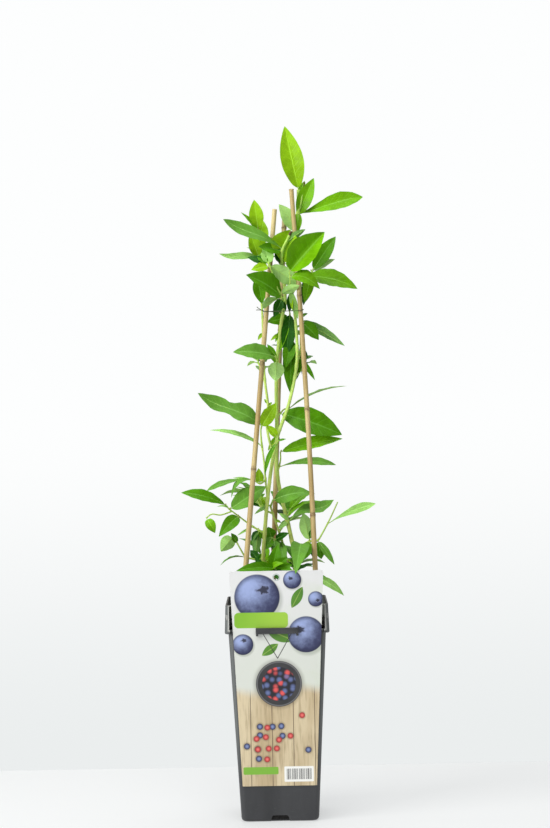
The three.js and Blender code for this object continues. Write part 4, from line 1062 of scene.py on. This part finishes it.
def grow_leaf(root, plan, heaps, draw):
    """One leaf: a blade on a short stalk, and its midrib. With s from stalk to tip and x across from -1
    to 1, the midrib is root + along L s + upper L (4 arch s (1 - s) + wave sin 2 pi s), the half width is
    W/2 sin(pi s^late)^0.85 (1 - pinch exp(-((s - 0.53) / 0.11)^2)), and the blade is raised from the
    midrib by |x| half tan(fold), softened in the middle, curled back at the rim and rippled along it."""
    length = plan.length
    along = direction(plan.heading, plan.rise)
    facing = math.radians(plan.facing)
    look = np.array([0, -math.sin(facing), math.cos(facing)])
    upper = unit(look - along * (along @ look))

    def spine(t):
        """The midrib's points at shares of the leaf's length."""
        lift = plan.arch * 4 * np.clip(t, 0, 1) * (1 - t) + plan.wave * np.sin(FULL_TURN * t)
        return root + along * (length * t)[:, None] + upper * (length * lift)[:, None]

    stalk = min(0.12, 2.6 / length)
    even = np.linspace(0, 1, ROWS)
    u = 0.35 * even + 0.65 * (0.5 - 0.5 * np.cos(math.pi * even))
    s = stalk + (1 - stalk) * u
    swell = np.maximum(np.sin(math.pi * np.clip(s, 0, 1) ** plan.late), 0) ** 0.85
    half = np.maximum(0.12, plan.width / 2 * swell)
    half = half * np.clip((u + 0.012) / 0.05, 0.15, 1) ** 0.6 * (1 - plan.pinch * bell(s - 0.53, 0.11))
    half = half[:, None]
    angle = math.radians(plan.twist) * (s - 0.5)
    normal = upper * np.cos(angle)[:, None] - np.cross(along, upper) * np.sin(angle)[:, None]
    x = np.linspace(-1, 1, COLUMNS)[None, :]
    soft_fold = (np.sqrt(x ** 2 + 0.01) - 0.1) * math.tan(math.radians(plan.fold))
    phase = draw.uniform(0, 6) + 0.9 * np.sign(x)
    ripple = 0.055 * np.sin(FULL_TURN * (2.6 + length / 30) * u[:, None] + phase) * x ** 2
    height = half * (soft_fold + ripple * 1.3 - 0.05 * np.abs(x) ** 3)
    thick = min(0.3, 0.1 + length * 0.003) * (1 - x ** 2) * np.clip(half / 2, 0, 1)
    middle = spine(s)[:, None, :] + np.cross(along, normal)[:, None, :] * (x * half)[..., None]
    top, bottom = (middle + normal[:, None, :] * (height + side * thick / 2)[..., None] for side in (1, -1))
    map_top = np.stack(np.broadcast_arrays((x + 1) / 2, u[:, None]), axis=-1)
    points, uv = (np.concatenate([above.reshape(-1, wide), below[1:-1, 1:-1].reshape(-1, wide)])
                  for above, below, wide in ((top, bottom, 3), (map_top, map_top, 2)))
    heaps[plan.tone].add(points, BLADE_FACES, BLADE_SLOTS, uv=uv)

    t = np.concatenate([[-0.6 / length, stalk * 0.5], s[1:-2:2]])
    radius = np.interp(t, [0, stalk, 1], [0.62, 0.5, 0.1]) * (0.7 + 0.3 * min(1, length / 40))
    sunk = 0.55 * radius * np.clip(t / max(stalk, 0.01), 0, 1)
    add_tube(heaps["ribs"], spine(t) - upper * sunk[:, None], radius, 6)


def add_bud(heap, root, way, size):
    """A small pointed bud that lies against the shoot: radius 0.42 size sin(pi s)^0.7 along its axis."""
    s = np.linspace(0, 1, 7)
    path = root + way * (size * s)[:, None]
    add_tube(heap, path, np.maximum(0.05, 0.42 * size * np.sin(math.pi * np.clip(s, 0.04, 0.97)) ** 0.7), 7)


def fine_twig(start, heaps, draw):
    """A short fine twig with three small leaves."""
    way = direction(draw.uniform(0, 360), draw.uniform(20, 65))
    end = start + way * draw.uniform(5, 9)
    curve = Curve([start, start + way * 3 + [0, 0, 0.5], end + [0, 0, 1.0]])
    share = np.linspace(0, 1, 8)
    add_tube(heaps["twigs"], curve.at(share), 0.5 - 0.18 * share, 7)
    for number, tone in enumerate(("light", "light", "fresh")):
        heading = math.degrees(math.atan2(way[1], way[0])) + number * GOLDEN_ANGLE
        plan = Leaf(tone, 1, heading, draw.uniform(15, 70), draw.uniform(6, 11), draw.uniform(2.4, 4),
                    draw.uniform(10, 60))
        grow_leaf(curve.at(0.45 + 0.27 * number), plan, heaps, draw)


def grow_shoot(base, shoot, heaps, draw):
    """One mass: its twig, its leaves, a bud above each larger leaf's stalk, side twigs with small leaves
    of their own, and fine twigs where the leaves were dealt out by rule.

    A twig's radius runs from its foot over its middle to its tip, with a swelling under every leaf."""
    main = Curve([base] + shoot.twig)
    branches = [(main, shoot.radii, shoot.leaves, shoot.cut)]
    for side in shoot.side_twigs:
        branches.append((Curve([main.at(side.place)] + side.twig), (0.9, 0.8, 0.7), side.leaves, side.cut))
    for curve, radii, leaves, cut in branches:
        for _ in range(2 if shoot.ruled else 0):
            fine_twig(curve.at(draw.uniform(0.3, 0.9)), heaps, draw)
        share = np.linspace(0, 1, max(12, int(curve.length / 1.2)))
        path = curve.at(share)
        radius = np.interp(share, [0, 0.5, 1], radii)
        for plan in leaves:
            radius = radius + 0.2 * bell((share - plan.place) * curve.length, 1.3)
        add_tube(heaps["twigs"], path, radius, 10)
        if cut:
            end = np.linspace(1 - 5 / curve.length, 1, 6)
            dry = curve.at(end) + 0.25 * unit(path[-1] - path[-3]) * np.linspace(-1, 1, 6)[:, None]
            add_tube(heaps["cuts"], dry, (radius[-1] + 0.12) * np.array([0.9, 1, 1.02, 1, 0.98, 0.9]), 10)
        for plan in leaves:
            root = curve.at(plan.place)
            grow_leaf(root, plan, heaps, draw)
            if plan.length > 24:
                way = unit(direction(plan.heading, plan.rise) * 0.6 + [0, 0, 1.0])
                add_bud(heaps["buds"], root + way * 0.8, way, draw.uniform(1.6, 2.4))


# ------------------------------------------------------------------ assembly

veins = leaf_vein_group()
bark_green = stem_material("green_bark", rgb(176, 182, 92), rgb(196, 226, 112), rgb(140, 162, 62))
twig_green = stem_material("twig_green", rgb(166, 196, 84), rgb(180, 216, 96), rgb(140, 174, 68))
rib_green = stem_material("rib_green", rgb(158, 196, 92), rgb(170, 208, 100), rgb(140, 180, 84))
dry_brown = stem_material("dry_brown", rgb(96, 66, 30), rgb(84, 58, 22), rgb(54, 36, 14))
bud_green = stem_material("bud_green", rgb(150, 150, 74), rgb(176, 190, 96), rgb(150, 104, 62))

limb_curves = {}
for number, (name, parent, start, foot, tip, path) in enumerate(STEMS):
    points = path if parent is None else [limb_curves[parent].at_height(start)] + path
    knots = [shoot.height for shoot in SHOOTS if shoot.limb == name]
    knots += [row[2] for row in STEMS if row[1] == name]
    piece, limb_curves[name] = stem_piece("bark_" + name, points, foot, tip, knots, 20 + number, bark_green)
    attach(piece, ROOT)
    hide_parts(name)

heaps = {kind: Heap() for kind in ("twigs", "ribs", "buds", "cuts", *TONES)}
draw = np.random.default_rng(404)
for shoot in SHOOTS:
    grow_shoot(limb_curves[shoot.limb].at_height(shoot.height), shoot, heaps, draw)
for limb, height, heading, rise, length, width, tone in LEAFLETS:
    leaflet = Leaf(tone, 1, heading, rise, length, width, 70)
    grow_leaf(limb_curves[limb].at_height(height), leaflet, heaps, draw)

twig_piece = heaps["twigs"].piece("green_twigs", [twig_green])
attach(twig_piece, ROOT)
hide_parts(*[shoot.name for shoot in SHOOTS])
for kind, name, finish in (("ribs", "leaf_ribs", rib_green), ("buds", "buds", bud_green),
                           ("cuts", "pruned_ends", dry_brown)):
    piece = heaps[kind].piece(name, [finish])
    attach(piece, ROOT)
for tone, (colour, underside) in TONES.items():
    top = leaf_material("leaf_" + tone, colour, veins, 0.38)
    back = leaf_material("underside_" + tone, underside, veins, 0.55, underside=True)
    piece = heaps[tone].piece("leaves_" + tone, [top, back])
    sharpen_rims(piece)
    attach(piece, ROOT)

bamboo, cane_cut = cane_material(), cut_material()
cane_curves = [cane_curve(top, ground, bow) for _, top, ground, bow, _ in CANES]
for number, (name, _, _, _, joint) in enumerate(CANES):
    piece = cane_piece("bamboo_" + name, cane_curves[number], joint, 60 + number, bamboo, cane_cut)
    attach(piece, ROOT)
    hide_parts(name)

tie = wire_piece(cane_curves, wire_material())
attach(tie, ROOT)
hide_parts("tie_wire")

pot = pot_piece(pot_material())
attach(pot, ROOT)
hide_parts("pot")

peat = mix_material()
bed, crumbs = peat_bed(peat), peat_crumbs(peat)
for piece in (bed, crumbs):
    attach(piece, ROOT)
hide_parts("potting_mix")

card = bpy.data.objects["label_card"]
card.data.materials.clear()
card.data.materials.append(card_material())

# ------------------------------------------------------------------ floor, light and camera

# A table of white acrylic with a low glow of its own.
table_white = Skin("table_white", rgb(160, 161, 161)).finish(0.6, Emission_Color=rgb(250, 252, 252),
                                                             Emission_Strength=0.47)
slab = [[x, y, z] for z in (-6, 0) for y in (-1600, 300) for x in (-1500, 1500)]
slab_faces = [[0, 2, 3, 1], [4, 5, 7, 6], [0, 1, 5, 4], [2, 6, 7, 3], [0, 4, 6, 2], [1, 3, 7, 5]]
floor = new_piece("table_top", slab, slab_faces, [table_white], smooth=False)

# Name, place, point that it faces, width and height, power and colour.
LIGHTS = [
    ("key_light", (-1.8, -1.3, 1.25), (0, 0, 0.45), (1.4, 1.4), 52, (1.0, 0.99, 0.97)),
    ("fill_light", (1.6, -1.6, 0.9), (0, 0, 0.4), (1.4, 1.4), 2, (0.98, 0.99, 1.0)),
    ("sheen_light", (0.0, -1.0, 2.1), (0, 0, 0.45), (1.0, 0.5), 18, (1, 1, 1)),
    ("top_light", (0.1, 0.5, 2.1), (0, 0, 0.4), (1.4, 1.2), 13, (1, 1, 1)),
]
for name, place, aim, (width, height), power, colour in LIGHTS:
    lamp = bpy.data.lights.new(name, "AREA")
    lamp.shape = "RECTANGLE"
    lamp.size, lamp.size_y = width, height
    lamp.energy = power
    lamp.color = colour
    turned = (Vector(aim) - Vector(place)).to_track_quat("-Z", "Y").to_matrix().to_4x4()
    show(name, lamp).matrix_world = Matrix.Translation(place) @ turned

# The world: a pale backdrop as the camera sees it, and a dimmer one that lights, open to the back
# and the top.
world = bpy.data.worlds.new("studio_white")
world.use_nodes = True
sky = Nodes(world.node_tree)
look = sky.out("ShaderNodeTexCoord", output="Generated")
look_back, look_up = look.axis(1), look.axis(2)
seen = look_up.step(-0.17, 0.0).mix(rgb(235, 238, 238), rgb(253, 254, 254))
open_side = look_back.step(-0.45, 0.35).maths("MAXIMUM", look_up.step(0.2, 0.9))
lit = open_side.mix((0.09, 0.09, 0.09, 1), (0.46, 0.465, 0.47, 1))
camera_ray = sky.out("ShaderNodeLightPath", output="Is Camera Ray")
sky.feed(sky.tree.nodes["Background"], {"Color": camera_ray.mix(lit, seen)})
scene = bpy.context.scene
scene.world = world
scene.view_settings.view_transform = "Standard"

lens = bpy.data.cameras.new("front_camera")
lens.lens = 86.96
lens.sensor_width = 36
lens.clip_start = 0.05
camera = show("front_camera", lens)
camera.matrix_world = (Matrix.Translation((0.00175, -2.2, 0.44)) @ Matrix.Rotation(math.pi / 2, 4, "X")
                       @ Matrix.Rotation(math.radians(-1.0), 4, "Z"))
scene.camera = camera
